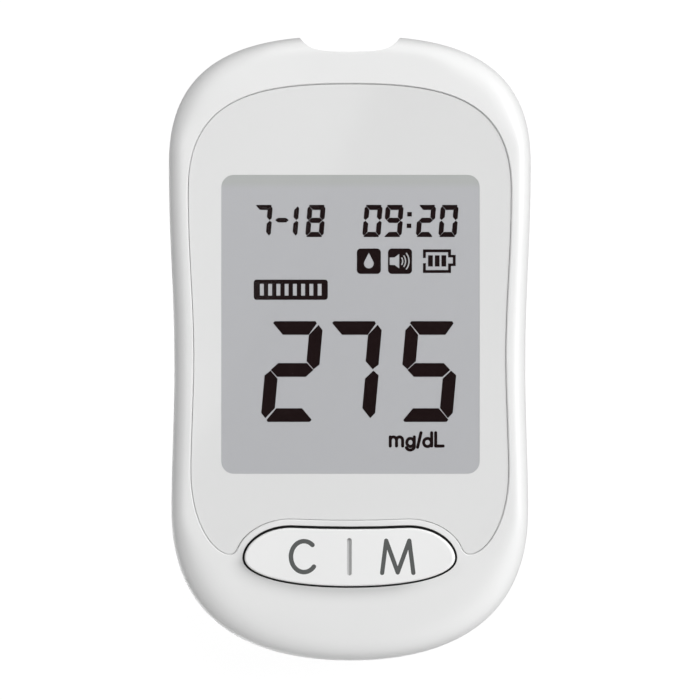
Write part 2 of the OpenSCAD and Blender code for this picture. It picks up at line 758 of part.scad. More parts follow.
module spring() {
    n = spring_sides;
    rings = len(spring_route);
    points = [for (i = [0 : rings - 1]) each spring_ring(i)];
    sides = [for (k = [0 : rings - 2], i = [0 : n - 1], half = [0, 1])
        let (a = k * n + i, b = k * n + (i + 1) % n)
        half == 0 ? [a, b, b + n] : [a, b + n, a + n]];
    first_cap = [for (i = [n - 1 : -1 : 0]) i];
    last_cap = [for (i = [0 : n - 1]) (rings - 1) * n + i];
    polyhedron(points, concat([first_cap], sides, [last_cap]));
}
spring_gap = min([for (i = [0 : len(spring_route) - 1], j = [0 : len(spring_route) - 1])
    if (j - i >= spring_rings / 2) norm(spring_route[i] - spring_route[j])]) - spring_wire;
echo(least_spring_gap = spring_gap);

module battery_springs() {
    color("silver") {
        translate([-cell_x, bay_low + plate_t + fit, cell_z]) spring();
        translate([cell_x, bay_high - plate_t - fit, cell_z]) mirror([0, 1, 0]) spring();
    }
}

// A contact plate that stands against an end of the bay
module contact_plate(w, x, y) {
    block(w, plate_t, cell_d - 2 * plate_drop, x, y, cell_z - cell_d / 2 + plate_drop);
}
// A solder tab from a plate up to the board
tab_w = 2.8;
module tab(x) {
    low = cell_z + cell_d / 2 - 1;
    block(tab_w, plate_t, board_low - fit - low, x, bay_high - plate_t / 2, low);
}
// The dimple that meets a cell's button
module dimple(x, y) {
    translate([x, y, cell_z]) rotate([-90, 0, 0]) cylinder(h = dimple_h + eps, r = nub_r + 0.4);
}

module positive_plate() {
    color("gold") {
        contact_plate(plate_w, -cell_x, bay_high - plate_t / 2);
        dimple(-cell_x, bay_high - plate_t - dimple_h);
        tab(-cell_x);
    }
}

module negative_plate() {
    color("gold") {
        contact_plate(plate_w, cell_x, bay_high - plate_t / 2);
        tab(cell_x);
    }
}

module bridge_plate() {
    color("gold") {
        contact_plate(2 * cell_x + plate_w, 0, bay_low + plate_t / 2);
        dimple(cell_x, bay_low + plate_t - eps);
    }
}

// ---- Fasteners ----------------------------------------------------------------------------

// A screw driven along +Z, with its head's bearing face at z = 0
module screw(r, l, head_r, h) {
    difference() {
        union() {
            translate([0, 0, -h]) cylinder(h = h, r = head_r);
            translate([0, 0, -eps]) cylinder(h = l - r + eps, r = r);
            translate([0, 0, l - r]) cylinder(h = r, r1 = r, r2 = 0.3 * r);
        }
        block(1.2 * head_r, 0.25 * head_r, 0.6 * h, 0, 0, -h - eps);
        block(0.25 * head_r, 1.2 * head_r, 0.6 * h, 0, 0, -h - eps);
    }
}

module case_screws() {
    color("silver") at_each(case_screw_at) translate([0, 0, head_seat])
        screw(case_screw_r, case_screw_l, case_head_r, head_h);
}

module board_screws() {
    color("silver") at_each(board_screw_at) translate([0, 0, board_low])
        screw(board_screw_r, board_screw_l, board_head_r, board_head_h);
}

front_cover();
display_lens();
lens_tape();
key_cap();
key_mat();
carbon_pills();
front_polariser();
lcd_glass();
rear_reflector();
lcd_holder();
elastic_connector();
main_board();
microcontroller();
chip_parts();
quartz_crystal();
radio_module();
radio_shield();
buzzer();
strip_port();
strip_contacts();
rear_cover();
battery_door();
battery_left();
battery_right();
battery_springs();
positive_plate();
negative_plate();
bridge_plate();
case_screws();
board_screws();
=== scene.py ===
# Blood glucose meter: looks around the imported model. Sizes are in millimetres and become metres
# where a mesh or a shader takes them. The camera's and the lamps' places are in metres.
from math import atan2, cos, degrees, hypot, radians, sin

import bmesh
import bpy
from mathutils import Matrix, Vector

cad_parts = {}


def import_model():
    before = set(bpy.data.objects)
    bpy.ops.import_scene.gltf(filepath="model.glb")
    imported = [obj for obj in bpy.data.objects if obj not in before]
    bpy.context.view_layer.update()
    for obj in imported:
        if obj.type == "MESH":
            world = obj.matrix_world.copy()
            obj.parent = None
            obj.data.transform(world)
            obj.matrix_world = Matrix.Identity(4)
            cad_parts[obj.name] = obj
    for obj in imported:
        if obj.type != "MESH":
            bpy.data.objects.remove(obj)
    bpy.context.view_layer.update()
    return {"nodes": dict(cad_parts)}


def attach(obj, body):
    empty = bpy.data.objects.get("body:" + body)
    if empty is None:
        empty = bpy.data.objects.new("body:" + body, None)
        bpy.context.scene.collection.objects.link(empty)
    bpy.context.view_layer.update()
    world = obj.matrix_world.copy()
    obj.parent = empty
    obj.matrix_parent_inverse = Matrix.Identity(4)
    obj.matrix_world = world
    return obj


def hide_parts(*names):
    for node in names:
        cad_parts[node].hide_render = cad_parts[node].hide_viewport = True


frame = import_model()
MM = 0.001

# ---- Sizes, the same as the model's -------------------------------------------------------

BODY_L, SHOULDER_W, WAIST_W, HIP_W = 96.0, 55.8, 54.1, 55.0
SHOULDER_Y, WAIST_Y, HIP_Y = 28.8, -3.0, -24.9
CROWN = 0.35
WALL = 1.8
FRONT_EDGE, FRONT_EDGE_H = 3.0, 5.0
BACK_EDGE, BACK_EDGE_H = 4.5, 6.0
BODY_H, SPLIT_Z, BED_Z, WEB_Z = 21.0, 11.4, 19.8, 18.6
NOTCH_W, NOTCH_D = 15.8, 2.0
RIM_W = 3.0
WINDOW_W, WINDOW_L, WINDOW_Y = 39.8, 46.0, 3.9
KEY_W, KEY_Y, KEY_UP, KEY_DOWN, KEY_FLAT = 32.8, -32.1, 4.8, 4.55, 9.0
KEY_GAP, KEY_RISE, KEY_EDGE, LIP_W = 0.4, 0.5, 0.55, 1.12
PIVOT_Z, FLANGE_W, FLANGE_T, TRUNNION_R = 17.15, 0.9, 0.9, 0.7
PLUNGER_X, PLUNGER_R, DOME_Z = 9.5, 1.6, 16.3
GROOVE_L, GROOVE_W, GROOVE_D, GROOVE_X = 5.75, 0.7, 0.42, -0.07
SLOT_W, SLOT_H = 8.6, 2.0
BOARD_LOW, BOARD_TOP = 14.3, 15.3
BAY_LOW, BAY_HIGH, BAY_HALF, BAY_TOP, BAY_WALL = -42.6, 7.4, 11.5, 12.7, 1.2
DOOR_HALF, DOOR_HIGH, DOOR_T, DOOR_GAP = 12.4, 12.1, 1.6, 0.25
TONGUE_W, TONGUE_T = 1.2, 0.8
CASE_SCREWS, CASE_SEAT = ((20.5, 36.0), (19.5, -34.5)), 4.4
BOARD_SCREWS = ((13.0, 38.05), (20.5, -25.95))
CELL_D, CELL_L, CELL_X, CELL_Z = 10.5, 44.5, 5.65, 7.15
SOUND_X, SOUND_Y = -13.5, 26.1       # middle of the sound holes
POLARISER_Z = 18.4

# Sizes that are seen a little differently from the model's.
FRONT_FULLNESS = 2.9                 # 2 is an ellipse, and more is fuller
LOW_REACH, CORNER_REACH = 3.5, 2.0   # how much further the front edge's rounding reaches there
RIM_TOP, SEEN_LENS_GAP = 7.12, 0.17
CLEAR_LOW = 20.8                     # from above, the clear plastic looks as thin as this
PRINT_Z, DISPLAY_Z = CLEAR_LOW - 0.01, CLEAR_LOW - 0.04
SEEN_NOTCH_W, SEEN_NOTCH_D = 15.5, 2.2
SEEN_WINDOW = (39.75, 46.0, 1.9, 0.1, 3.83)      # width, length, corner radius and middle


# ---- Curves ---------------------------------------------------------------------------------

def bez(a, b, c, d, t):
    """The point at t, from 0 to 1, along a cubic curve."""
    s = 1 - t
    return tuple(s**3 * a[k] + 3 * t * s * s * b[k] + 3 * t * t * s * c[k] + t**3 * d[k] for k in (0, 1))


def run(a, b, c, d, n):
    """Points along one curve, without its last."""
    return [bez(a, b, c, d, i / n) for i in range(n)]


def both_sides(half):
    """A right half from bottom to top becomes a closed outline."""
    return half + [(-x, y) for x, y in half[-2:0:-1]]


def normals(line):
    """Outward normals of a closed outline that runs anticlockwise."""
    found = []
    for i in range(len(line)):
        (ax, ay), (bx, by) = line[i - 1], line[(i + 1) % len(line)]
        length = hypot(bx - ax, by - ay)
        found.append(((by - ay) / length, (ax - bx) / length))
    return found


def grown(line, d):
    """The outline moved outward by d, which is one distance or one for each point."""
    far = d if isinstance(d, list) else [d] * len(line)
    return [(x + k * nx, y + k * ny) for (x, y), (nx, ny), k in zip(line, normals(line), far)]


def case_outline(n=4):
    hip, waist, shoulder, top = HIP_W / 2, WAIST_W / 2, SHOULDER_W / 2, BODY_L / 2 + CROWN
    low = -BODY_L / 2
    return both_sides(
        run((0, low), (14.3, low), (hip, HIP_Y - 17.9), (hip, HIP_Y), 16 * n)
        + run((hip, HIP_Y), (hip, HIP_Y + 7.4), (waist, WAIST_Y - 7.4), (waist, WAIST_Y), 6 * n)
        + run((waist, WAIST_Y), (waist, WAIST_Y + 13.1), (shoulder, SHOULDER_Y - 13.2),
              (shoulder, SHOULDER_Y), 6 * n)
        + run((shoulder, SHOULDER_Y), (shoulder, SHOULDER_Y + 17.5), (13.7, top), (0, top), 16 * n)
        + [(0, top)])


def key_outline(n=3):
    tip, high, low = KEY_W / 2, KEY_Y + KEY_UP, KEY_Y - KEY_DOWN
    return both_sides(
        run((0, low), (8.9, low), (tip, KEY_Y - 3.1), (tip, KEY_Y), 14 * n)
        + run((tip, KEY_Y), (tip, KEY_Y + 2.1), (KEY_FLAT + 4.5, high), (KEY_FLAT, high), 14 * n)
        + [(KEY_FLAT, high), (KEY_FLAT / 2, high - 0.15), (0, high - 0.2)])


def lens_outline(n=3):
    top = BODY_L / 2 - RIM_TOP
    hip, waist, shoulder = HIP_W / 2 - RIM_W, WAIST_W / 2 - RIM_W, SHOULDER_W / 2 - RIM_W
    lx, ly = KEY_W / 2 + LIP_W + 0.95, KEY_Y + 0.5
    lip = [p for p in grown(key_outline(), LIP_W) if p[0] > 0.01 and p[1] > KEY_Y + 1.9]
    lip.reverse()
    ex, ey = lip[-1]
    return both_sides(
        [(0, KEY_Y + KEY_UP - 0.2 + LIP_W)] + lip
        + run((ex + 0.25, ey - 0.5), (lx - 1.0, ly + 0.55), (lx - 0.75, ly), (lx, ly), 5 * n)
        + run((lx, ly), (lx + 2.2, ly), (hip, HIP_Y - 2.5), (hip, HIP_Y + 6.3), 16 * n)
        + run((hip, HIP_Y + 6.3), (hip, HIP_Y + 10), (waist, WAIST_Y - 3.2), (waist, WAIST_Y + 1.4), 6 * n)
        + run((waist, WAIST_Y + 1.4), (waist, WAIST_Y + 11.6), (shoulder, SHOULDER_Y - 15.6),
              (shoulder, SHOULDER_Y - 4.1), 6 * n)
        + run((shoulder, SHOULDER_Y - 4.1), (shoulder, SHOULDER_Y + 10.5), (13.4, top), (0, top), 16 * n)
        + [(0, top)])


def notch_outline(n=3):
    floor_y, high = BODY_L / 2 - SEEN_NOTCH_D, BODY_L / 2 + 0.05
    half = run((0, floor_y), (5.2, floor_y), (6.3, floor_y + 0.3), (SEEN_NOTCH_W / 2, high), 10 * n)
    half += [(SEEN_NOTCH_W / 2, high), (SEEN_NOTCH_W / 2 + 1.6, high + 1.95)]
    return half + [(-x, y) for x, y in half[:0:-1]]


def key_hole():
    """The key's opening, with a narrower gap at its tips and along its lower edge."""
    line = key_outline()
    low_less, tip_less = 0.12, 0.08
    return grown(line, [KEY_GAP / 2 - low_less * max(0.0, -ny) ** 2 - tip_less * nx * nx
                        for nx, ny in normals(line)])


CASE = case_outline()
KEY = key_outline()
KEY_HOLE = key_hole()
LENS = lens_outline()


def oval(cx, cy, rx, ry, a0, a1, n):
    """Points along part of an ellipse, between two angles in degrees."""
    angles = [radians(a0 + (a1 - a0) * i / n) for i in range(n + 1)]
    return [(cx + rx * cos(a), cy + ry * sin(a)) for a in angles]


def arc(cx, cy, r, a0, a1, n):
    return oval(cx, cy, r, r, a0, a1, n)


def rounded(w, l, r, x=0.0, y=0.0, n=10):
    """Outline of a rectangle with round corners."""
    points = []
    for k, (sx, sy) in enumerate(((1, 1), (-1, 1), (-1, -1), (1, -1))):
        points += arc(x + sx * (w / 2 - r), y + sy * (l / 2 - r), r, 90 * k, 90 * k + 90, n)
    return points


def stroke(points, w):
    """Outline of a line of width w with round ends."""
    last = len(points) - 1
    headings, right, left = [], [], []
    for i, (x, y) in enumerate(points):
        (ax, ay), (bx, by) = points[max(i - 1, 0)], points[min(i + 1, last)]
        heading = atan2(by - ay, bx - ax)
        headings.append(degrees(heading))
        right.append((x + w / 2 * sin(heading), y - w / 2 * cos(heading)))
        left.append((x - w / 2 * sin(heading), y + w / 2 * cos(heading)))
    (sx, sy), (ex, ey) = points[0], points[-1]
    return (right[1:-1] + arc(ex, ey, w / 2, headings[-1] - 90, headings[-1] + 90, 8)
            + left[-2:0:-1] + arc(sx, sy, w / 2, headings[0] + 90, headings[0] + 270, 8))


def anticlockwise(line):
    area = sum(ax * by - bx * ay for (ax, ay), (bx, by) in zip(line, line[1:] + line[:1]))
    return line if area > 0 else line[::-1]


# ---- Solids ---------------------------------------------------------------------------------

def solid(name, points, faces):
    """A mesh object from points in millimetres."""
    mesh = bpy.data.meshes.new(name)
    mesh.from_pydata([(x * MM, y * MM, z * MM) for x, y, z in points], [], faces)
    obj = bpy.data.objects.new(name, mesh)
    bpy.context.scene.collection.objects.link(obj)
    return obj


def rings(name, loops):
    """A closed body through loops with equally many points, the first and last of them capped."""
    n = len(loops[0])
    points = [p for loop in loops for p in loop]
    faces = [tuple(range(n - 1, -1, -1)), tuple((len(loops) - 1) * n + i for i in range(n))]
    for k in range(len(loops) - 1):
        for i in range(n):
            j = (i + 1) % n
            faces.append((k * n + i, k * n + j, (k + 1) * n + j, (k + 1) * n + i))
    return solid(name, points, faces)


def loft(name, line, levels):
    """Each level is (distance moved inward, height). A list of distances has one for each point."""
    return rings(name, [[(x, y, z) for x, y in grown(line, inward(d))] for d, z in levels])


def inward(d):
    return [-k for k in d] if isinstance(d, list) else -d


def prism(line, z0, z1, name="cutter"):
    return rings(name, [[(x, y, z) for x, y in line] for z in (z0, z1)])


def block(w, l, h, x=0.0, y=0.0, z=0.0):
    line = [(x - w / 2, y - l / 2), (x + w / 2, y - l / 2), (x + w / 2, y + l / 2), (x - w / 2, y + l / 2)]
    return prism(line, z, z + h)


def rod(r, z0, z1, x=0.0, y=0.0, n=48):
    return prism(arc(x, y, r, 0, 360 - 360 / n, n - 1), z0, z1)


def turned(name, profile, place, axis="Z", n=48):
    """A closed turned body. The profile's points are (radius, height along the axis), from end to end."""
    cx, cy, cz = place
    loops = []
    for r, h in profile:
        circle = arc(0, 0, r, 0, 360 - 360 / n, n - 1)
        if axis == "Z":
            loops.append([(cx + u, cy + v, cz + h) for u, v in circle])
        else:
            loops.append([(cx + v, cy + h, cz + u) for u, v in circle])
    return rings(name, loops)


def tube(name, route, r, n=10):
    """A round wire along a route of points that lie close together."""
    path = [Vector(p) for p in route]
    side = (path[1] - path[0]).orthogonal().normalized()
    loops = []
    for i, here in enumerate(path):
        ahead = (path[min(i + 1, len(path) - 1)] - path[max(i - 1, 0)]).normalized()
        side = (side - ahead * side.dot(ahead)).normalized()
        other = ahead.cross(side)
        loops.append([tuple(here + r * (cos(radians(a)) * side + sin(radians(a)) * other))
                      for a in (360 * k / n for k in range(n))])
    return rings(name, loops)


def rod_y(r, y0, y1, x, z, n=32):
    circle = arc(x, z, r, 0, 360 - 360 / n, n - 1)
    return rings("cutter", [[(px, y, pz) for px, pz in circle] for y in (y1, y0)])


def combine(obj, other, how):
    step = obj.modifiers.new("step", "BOOLEAN")
    step.operation = how
    step.solver = "MANIFOLD"
    step.object = other
    bpy.context.view_layer.update()
    made = bpy.data.meshes.new_from_object(obj.evaluated_get(bpy.context.evaluated_depsgraph_get()))
    obj.modifiers.clear()
    obj.data = made
    bpy.data.objects.remove(other)


def cut(obj, *others):
    for other in others:
        combine(obj, other, "DIFFERENCE")
    return obj


def fuse(obj, *others):
    for other in others:
        combine(obj, other, "UNION")
    return obj


def both_x(make, places):
    """One solid at each place and at its mirror image."""
    return [make(s * x, y) for x, y in places for s in (1, -1)]


def finished(obj, body, slot, look, *nodes, angle=28):
    """Smooth shading over curved faces, and the piece's place in the frame."""
    for face in obj.data.polygons:
        face.use_smooth = True
    bm = bmesh.new()
    bm.from_mesh(obj.data)
    bmesh.ops.remove_doubles(bm, verts=bm.verts, dist=1e-7)
    bmesh.ops.recalc_face_normals(bm, faces=bm.faces)
    for edge in bm.edges:
        edge.smooth = len(edge.link_faces) != 2 or edge.calc_face_angle(0) < radians(angle)
    bm.to_mesh(obj.data)
    bm.free()
    weighted = obj.modifiers.new("normals", "WEIGHTED_NORMAL")
    weighted.keep_sharp = True
    weighted.weight = 80
    obj.data.materials.clear()
    obj.data.materials.append(look)
    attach(obj, body)
    if nodes:
        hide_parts(*nodes)
    return obj


# ---- Materials ------------------------------------------------------------------------------

def shader(name, rough=0.4, metal=0.0, spec=0.5, coat=0.0, coat_rough=0.03):
    made = bpy.data.materials.new(name)
    made.use_nodes = True
    main = made.node_tree.nodes["Principled BSDF"]
    main.inputs["Roughness"].default_value = rough
    main.inputs["Metallic"].default_value = metal
    main.inputs["Specular IOR Level"].default_value = spec
    main.inputs["Coat Weight"].default_value = coat
    main.inputs["Coat Roughness"].default_value = coat_rough
    return made, made.node_tree, main


def shader_node(tree, kind, **values):
    """A shader node with some of its inputs set."""
    made = tree.nodes.new(kind)
    for name, value in values.items():
        made.inputs[name].default_value = value
    return made


def noise(tree, scale, detail=3.0, rough=0.5, stretch=None):
    where = tree.nodes.new("ShaderNodeTexCoord").outputs["Object"]
    found = shader_node(tree, "ShaderNodeTexNoise", Scale=scale, Detail=detail, Roughness=rough)
    if stretch:
        turn = shader_node(tree, "ShaderNodeMapping", Scale=stretch)
        tree.links.new(where, turn.inputs["Vector"])
        where = turn.outputs["Vector"]
    tree.links.new(where, found.inputs["Vector"])
    return found.outputs["Fac"]


def axes(tree):
    """The X, Y and Z sockets of the place on the object."""
    split = tree.nodes.new("ShaderNodeSeparateXYZ")
    tree.links.new(tree.nodes.new("ShaderNodeTexCoord").outputs["Object"], split.inputs["Vector"])
    return split.outputs


def spread(tree, source, low, high):
    """0 at one place in millimetres, 1 at another, and even in between."""
    made = tree.nodes.new("ShaderNodeMapRange")
    made.inputs["From Min"].default_value = low * MM
    made.inputs["From Max"].default_value = high * MM
    tree.links.new(source, made.inputs["Value"])
    return made.outputs["Result"]


def maths(tree, how, *values):
    """One step of arithmetic on sockets and numbers."""
    made = tree.nodes.new("ShaderNodeMath")
    made.operation = how
    for k, value in enumerate(values):
        if isinstance(value, (int, float)):
            made.inputs[k].default_value = value
        else:
            tree.links.new(value, made.inputs[k])
    return made.outputs["Value"]


def fold(tree, how, first, *others):
    """The same step of arithmetic over two or more sockets."""
    for other in others:
        first = maths(tree, how, first, other)
    return first


def longest_side(tree, a, b):
    """Length of the slanted side of a right triangle."""
    squares = [maths(tree, "MULTIPLY", side, side) for side in (a, b)]
    return maths(tree, "SQRT", maths(tree, "ADD", *squares))


def between(tree, source, low, high, soft):
    """1 between two heights of a value, fading over a soft stretch inside them."""
    rising = spread(tree, source, low, low + soft)
    falling = spread(tree, source, high, high - soft)
    return maths(tree, "MULTIPLY", rising, falling)


def mix(tree, share, first, second):
    made = tree.nodes.new("ShaderNodeMixShader")
    for socket, value in zip(("Fac", 1, 2), (share, first, second)):
        tree.links.new(value, made.inputs[socket])
    return made.outputs["Shader"]


def ramp(tree, source, stops):
    made = tree.nodes.new("ShaderNodeValToRGB")
    elements = made.color_ramp.elements
    while len(elements) < len(stops):
        elements.new(0.5)
    for element, (place, colour) in zip(elements, stops):
        element.position = place
        element.color = (*colour, 1)
    tree.links.new(source, made.inputs["Fac"])
    return made.outputs["Color"]


def bump(tree, main, height, depth, strength=1.0):
    made = tree.nodes.new("ShaderNodeBump")
    made.inputs["Strength"].default_value = strength
    made.inputs["Distance"].default_value = depth
    tree.links.new(height, made.inputs["Height"])
    tree.links.new(made.outputs["Normal"], main.inputs["Normal"])


def scaled(colour, k):
    return tuple(c * k for c in colour)


def even(k):
    """A grey."""
    return (k, k, k)


def plastic(name, colour, rough=0.36, grain=2600, depth=0.000006, vary=0.015, **more):
    """Moulded plastic: a fine even grain, slight drifts of tone and of shine."""
    made, tree, main = shader(name, rough=rough, **more)
    dark, light = scaled(colour, 1 - vary), scaled(colour, 1 + vary)
    shade = ramp(tree, noise(tree, 45, 2), [(0.3, dark), (0.7, light)])
    tree.links.new(shade, main.inputs["Base Color"])
    shine = ramp(tree, noise(tree, 320, 4), [(0.35, even(rough * 0.92)), (0.65, even(rough * 1.08))])
    tree.links.new(shine, main.inputs["Roughness"])
    bump(tree, main, noise(tree, grain, 3, 0.6), depth)
    return made


def metal(name, colour, rough=0.28, stretch=(1, 1, 1), grain=900):
    """Plated metal with fine lines and small spots."""
    made, tree, main = shader(name, rough=rough, metal=1.0)
    lines = noise(tree, grain, 5, 0.6, stretch)
    shade = ramp(tree, lines, [(0.3, scaled(colour, 0.86)), (0.7, colour)])
    tree.links.new(shade, main.inputs["Base Color"])
    shine = ramp(tree, lines, [(0.3, even(rough * 0.8)), (0.7, even(rough * 1.3))])
    tree.links.new(shine, main.inputs["Roughness"])
    bump(tree, main, lines, 0.000004)
    return made


def over_base(tree, main, blend="MIX"):
    """A mix of colours that takes the place of the base colour, with that as its first colour.

    It comes back with the socket of its second colour.
    """
    first, second, result = 6, 7, 2
    tone = tree.nodes.new("ShaderNodeMix")
    tone.data_type, tone.blend_type = "RGBA", blend
    tone.inputs["Factor"].default_value = 1.0
    tree.links.new(main.inputs["Base Color"].links[0].from_socket, tone.inputs[first])
    tree.links.new(tone.outputs[result], main.inputs["Base Color"])
    return tone, tone.inputs[second]


FACE_Z = BODY_H + KEY_RISE
# Painted shade in the gap round the key: the walls there, below the front face, are painted darker.
GAP_Z, GAP_FADE, GAP_SHADE_GREY = (13.0, CLEAR_LOW), 0.5, 0.16
GAP_BOX = ((-KEY_W / 2 - 0.8, KEY_W / 2 + 0.8), (KEY_Y - 5.2, KEY_Y + 5.7), GAP_Z)   # below the front face
GROOVE_MID = KEY_Y + 0.15
GROOVE_RUN, GROOVE_Z = (GROOVE_MID - 3, GROOVE_MID + 3), (FACE_Z - 0.7, FACE_Z - 0.06)
# The key's groove is painted darker as shade, and its right half darker still as a painted shadow under its
# right edge.
GROOVE_SHADE_BOX = ((-0.5, 0.5), GROOVE_RUN, GROOVE_Z)
GROOVE_SHADE = ((-0.16, 0.5), GROOVE_RUN, GROOVE_Z)                                 # its darker half


def painted_shade_look(name, colour, *places, **more):
    """Moulded plastic with painted shade that darkens it in narrow places: (box, fade, tone) each."""
    made = plastic(name, colour, **more)
    tree = made.node_tree
    here = axes(tree)
    for box, fade, grey in places:
        inside = fold(tree, "MULTIPLY", *[between(tree, here[axis], low, high, fade if axis == "Z" else 0.05)
                                          for axis, (low, high) in zip("XYZ", box)])
        tone, second = over_base(tree, tree.nodes["Principled BSDF"])
        tree.links.new(inside, tone.inputs["Factor"])
        second.default_value = (*even(grey), 1)
    return made


# The key's painted shadow on the bezel: darkest below the key and to its left.
SHADE_X, SHADE_Y = -0.3, KEY_Y - 0.35                          # middle of the key's shade
SHADE_HALF_W, SHADE_HALF_L = KEY_W / 2 + 0.1, KEY_DOWN + 0.25
SHADE_REACH, SHADE_FALL = 2.6, 2.4
ABOVE_SHARE, RIGHT_SHARE = 0.6, 0.3


def painted_key_shadow(tree, x, y):
    """Depth of the painted shadow round the key: on the bezel below it and to its left, and fainter
    elsewhere.
    """
    u, v = (maths(tree, "DIVIDE", maths(tree, "SUBTRACT", value, mid * MM), half * MM)
            for value, mid, half in ((x, SHADE_X, SHADE_HALF_W), (y, SHADE_Y, SHADE_HALF_L)))
    ring = longest_side(tree, u, v)
    slope = longest_side(tree, maths(tree, "DIVIDE", u, SHADE_HALF_W * MM),
                         maths(tree, "DIVIDE", v, SHADE_HALF_L * MM))
    away = maths(tree, "DIVIDE", maths(tree, "MULTIPLY", ring, maths(tree, "SUBTRACT", ring, 1.0)), slope)
    near = maths(tree, "POWER", spread(tree, away, SHADE_REACH, 0), SHADE_FALL)
    below = maths(tree, "MAXIMUM", spread(tree, y, KEY_Y + 1.2, KEY_Y - 0.8), ABOVE_SHARE)
    left = maths(tree, "MAXIMUM", spread(tree, x, 15, 7), RIGHT_SHARE)
    return fold(tree, "MULTIPLY", near, below, left)


def shell_look():
    """The white shell, with painted shade in the gap round the key and the key's painted shadow on the
    bezel.
    """
    made = painted_shade_look("white_shell", (0.805, 0.807, 0.805), (GAP_BOX, GAP_FADE, GAP_SHADE_GREY))
    tree = made.node_tree
    here = axes(tree)
    top = between(tree, here["Z"], BODY_H - 1, BODY_H + 2, 0.2)
    shade = fold(tree, "MULTIPLY", painted_key_shadow(tree, here["X"], here["Y"]), top)
    second = over_base(tree, tree.nodes["Principled BSDF"], "MULTIPLY")[1]
    tree.links.new(ramp(tree, shade, [(0, even(1.0)), (1, even(0.74))]), second)
    return made


def clear_look():
    """Thin clear acrylic: light passes straight through, and the face mirrors by its angle."""
    made, tree, gloss = shader("clear_lens", rough=0.03, metal=1.0)
    gloss.inputs["Base Color"].default_value = (1, 1, 1, 1)
    bump(tree, gloss, noise(tree, 220, 1), 0.0000005)
    through = tree.nodes.new("ShaderNodeBsdfTransparent")
    angle = shader_node(tree, "ShaderNodeFresnel", IOR=1.16)
    front = maths(tree, "SUBTRACT", 1.0, tree.nodes.new("ShaderNodeNewGeometry").outputs["Backfacing"])
    share = fold(tree, "MULTIPLY", angle.outputs["Fac"], front)
    tree.links.new(mix(tree, share, through.outputs["BSDF"], gloss.outputs["BSDF"]),
                   tree.nodes["Material Output"].inputs["Surface"])
    return made


def board_look():
    """Green solder mask with the traces under it showing as slightly raised, lighter lines."""
    made, tree, main = shader("board_green", rough=0.32)
    cells = shader_node(tree, "ShaderNodeTexVoronoi", Scale=260)
    cells.distance = "MANHATTAN"
    cells.feature = "DISTANCE_TO_EDGE"
    tree.links.new(tree.nodes.new("ShaderNodeTexCoord").outputs["Object"], cells.inputs["Vector"])
    trace, mask = (0.03, 0.22, 0.09), (0.012, 0.11, 0.045)
    from_trace = cells.outputs["Distance"]
    tree.links.new(ramp(tree, from_trace, [(0.05, trace), (0.09, mask)]), main.inputs["Base Color"])
    bump(tree, main, from_trace, 0.00002, 0.3)
    return made


def display_look():
    """Grey reflective display: a faint cool tone, a little darker and greener along its upper edge."""
    made, tree, main = shader("polariser", rough=0.55)
    top = WINDOW_Y + WINDOW_L / 2
    high = spread(tree, axes(tree)["Y"], top - 2.2, top - 1.2)
    cool, green = (0.455, 0.46, 0.477), (0.425, 0.437, 0.43)
    tree.links.new(ramp(tree, high, [(0, cool), (1, green)]), main.inputs["Base Color"])
    bump(tree, main, noise(tree, 5000, 2), 0.000003)
    return made


def print_and_painted_shade_look():
    """Pale grey print behind glossy plastic, with painted shade that darkens it a little towards its upper
    end, where the lamps light it more.
    """
    made = plastic("print", (0.792, 0.794, 0.792), rough=0.6, grain=5000, depth=0.000001, vary=0.004,
                   spec=0.0, coat=1.0, coat_rough=0.07)
    tree = made.node_tree
    along = spread(tree, axes(tree)["Y"], -25, 40)
    second = over_base(tree, tree.nodes["Principled BSDF"], "MULTIPLY")[1]
    tree.links.new(ramp(tree, along, [(0, even(1.0)), (1, even(0.943))]), second)
    return made


LOOKS = {
    "white_shell": shell_look(),
    # The key gets the same painted shade in its gap, and painted shade and shadow in its groove.
    "key_plastic": painted_shade_look("key_plastic", (0.85, 0.852, 0.85), (GAP_BOX, GAP_FADE, GAP_SHADE_GREY),
                            (GROOVE_SHADE_BOX, 0.2, 0.66), (GROOVE_SHADE, 0.2, 0.44), rough=0.42, grain=3200),
    "print": print_and_painted_shade_look(),
    "clear_lens": clear_look(),
    "black_tape": plastic("black_tape", (0.02, 0.02, 0.022), rough=0.7),
    "silicone": plastic("silicone", (0.62, 0.64, 0.64), rough=0.55, grain=1800),
    "carbon_rubber": plastic("carbon_rubber", (0.012, 0.012, 0.013), rough=0.75),
    "polariser": display_look(),
    "display_glass": plastic("display_glass", (0.42, 0.44, 0.43), rough=0.08, depth=0.0000005),
    "reflector": plastic("reflector", (0.5, 0.51, 0.52), rough=0.3, grain=6000),
    "holder_plastic": plastic("holder_plastic", (0.72, 0.72, 0.7), rough=0.5),
    "board_green": board_look(),
    "chip_black": plastic("chip_black", (0.015, 0.015, 0.017), rough=0.55, grain=4000, depth=0.00001),
    "chip_ceramic": plastic("chip_ceramic", (0.30, 0.19, 0.10), rough=0.5, grain=4000),
    "plated_steel": metal("plated_steel", (0.62, 0.62, 0.60), stretch=(1, 8, 1)),
    "port_plastic": plastic("port_plastic", (0.018, 0.018, 0.02), rough=0.5),
    "gold_contact": metal("gold_contact", (0.83, 0.6, 0.27), rough=0.22),
    "spring_steel": metal("spring_steel", (0.66, 0.66, 0.65), rough=0.24, grain=1500),
    "screw_steel": metal("screw_steel", (0.6, 0.6, 0.6), rough=0.32, grain=1500),
    "segment": plastic("segment", (0.0065, 0.002, 0.0022), rough=0.6, vary=0.1, spec=0.1),
    "mark": plastic("mark", (0.078, 0.082, 0.08), rough=0.5, vary=0.03),
}


# ---- Front cover ----------------------------------------------------------------------------

def quarter(n):
    return [90.0 * i / n for i in range(1, n + 1)]


def smooth(low, high, value):
    t = min(1.0, max(0.0, (value - low) / (high - low)))
    return t * t * (3 - 2 * t)


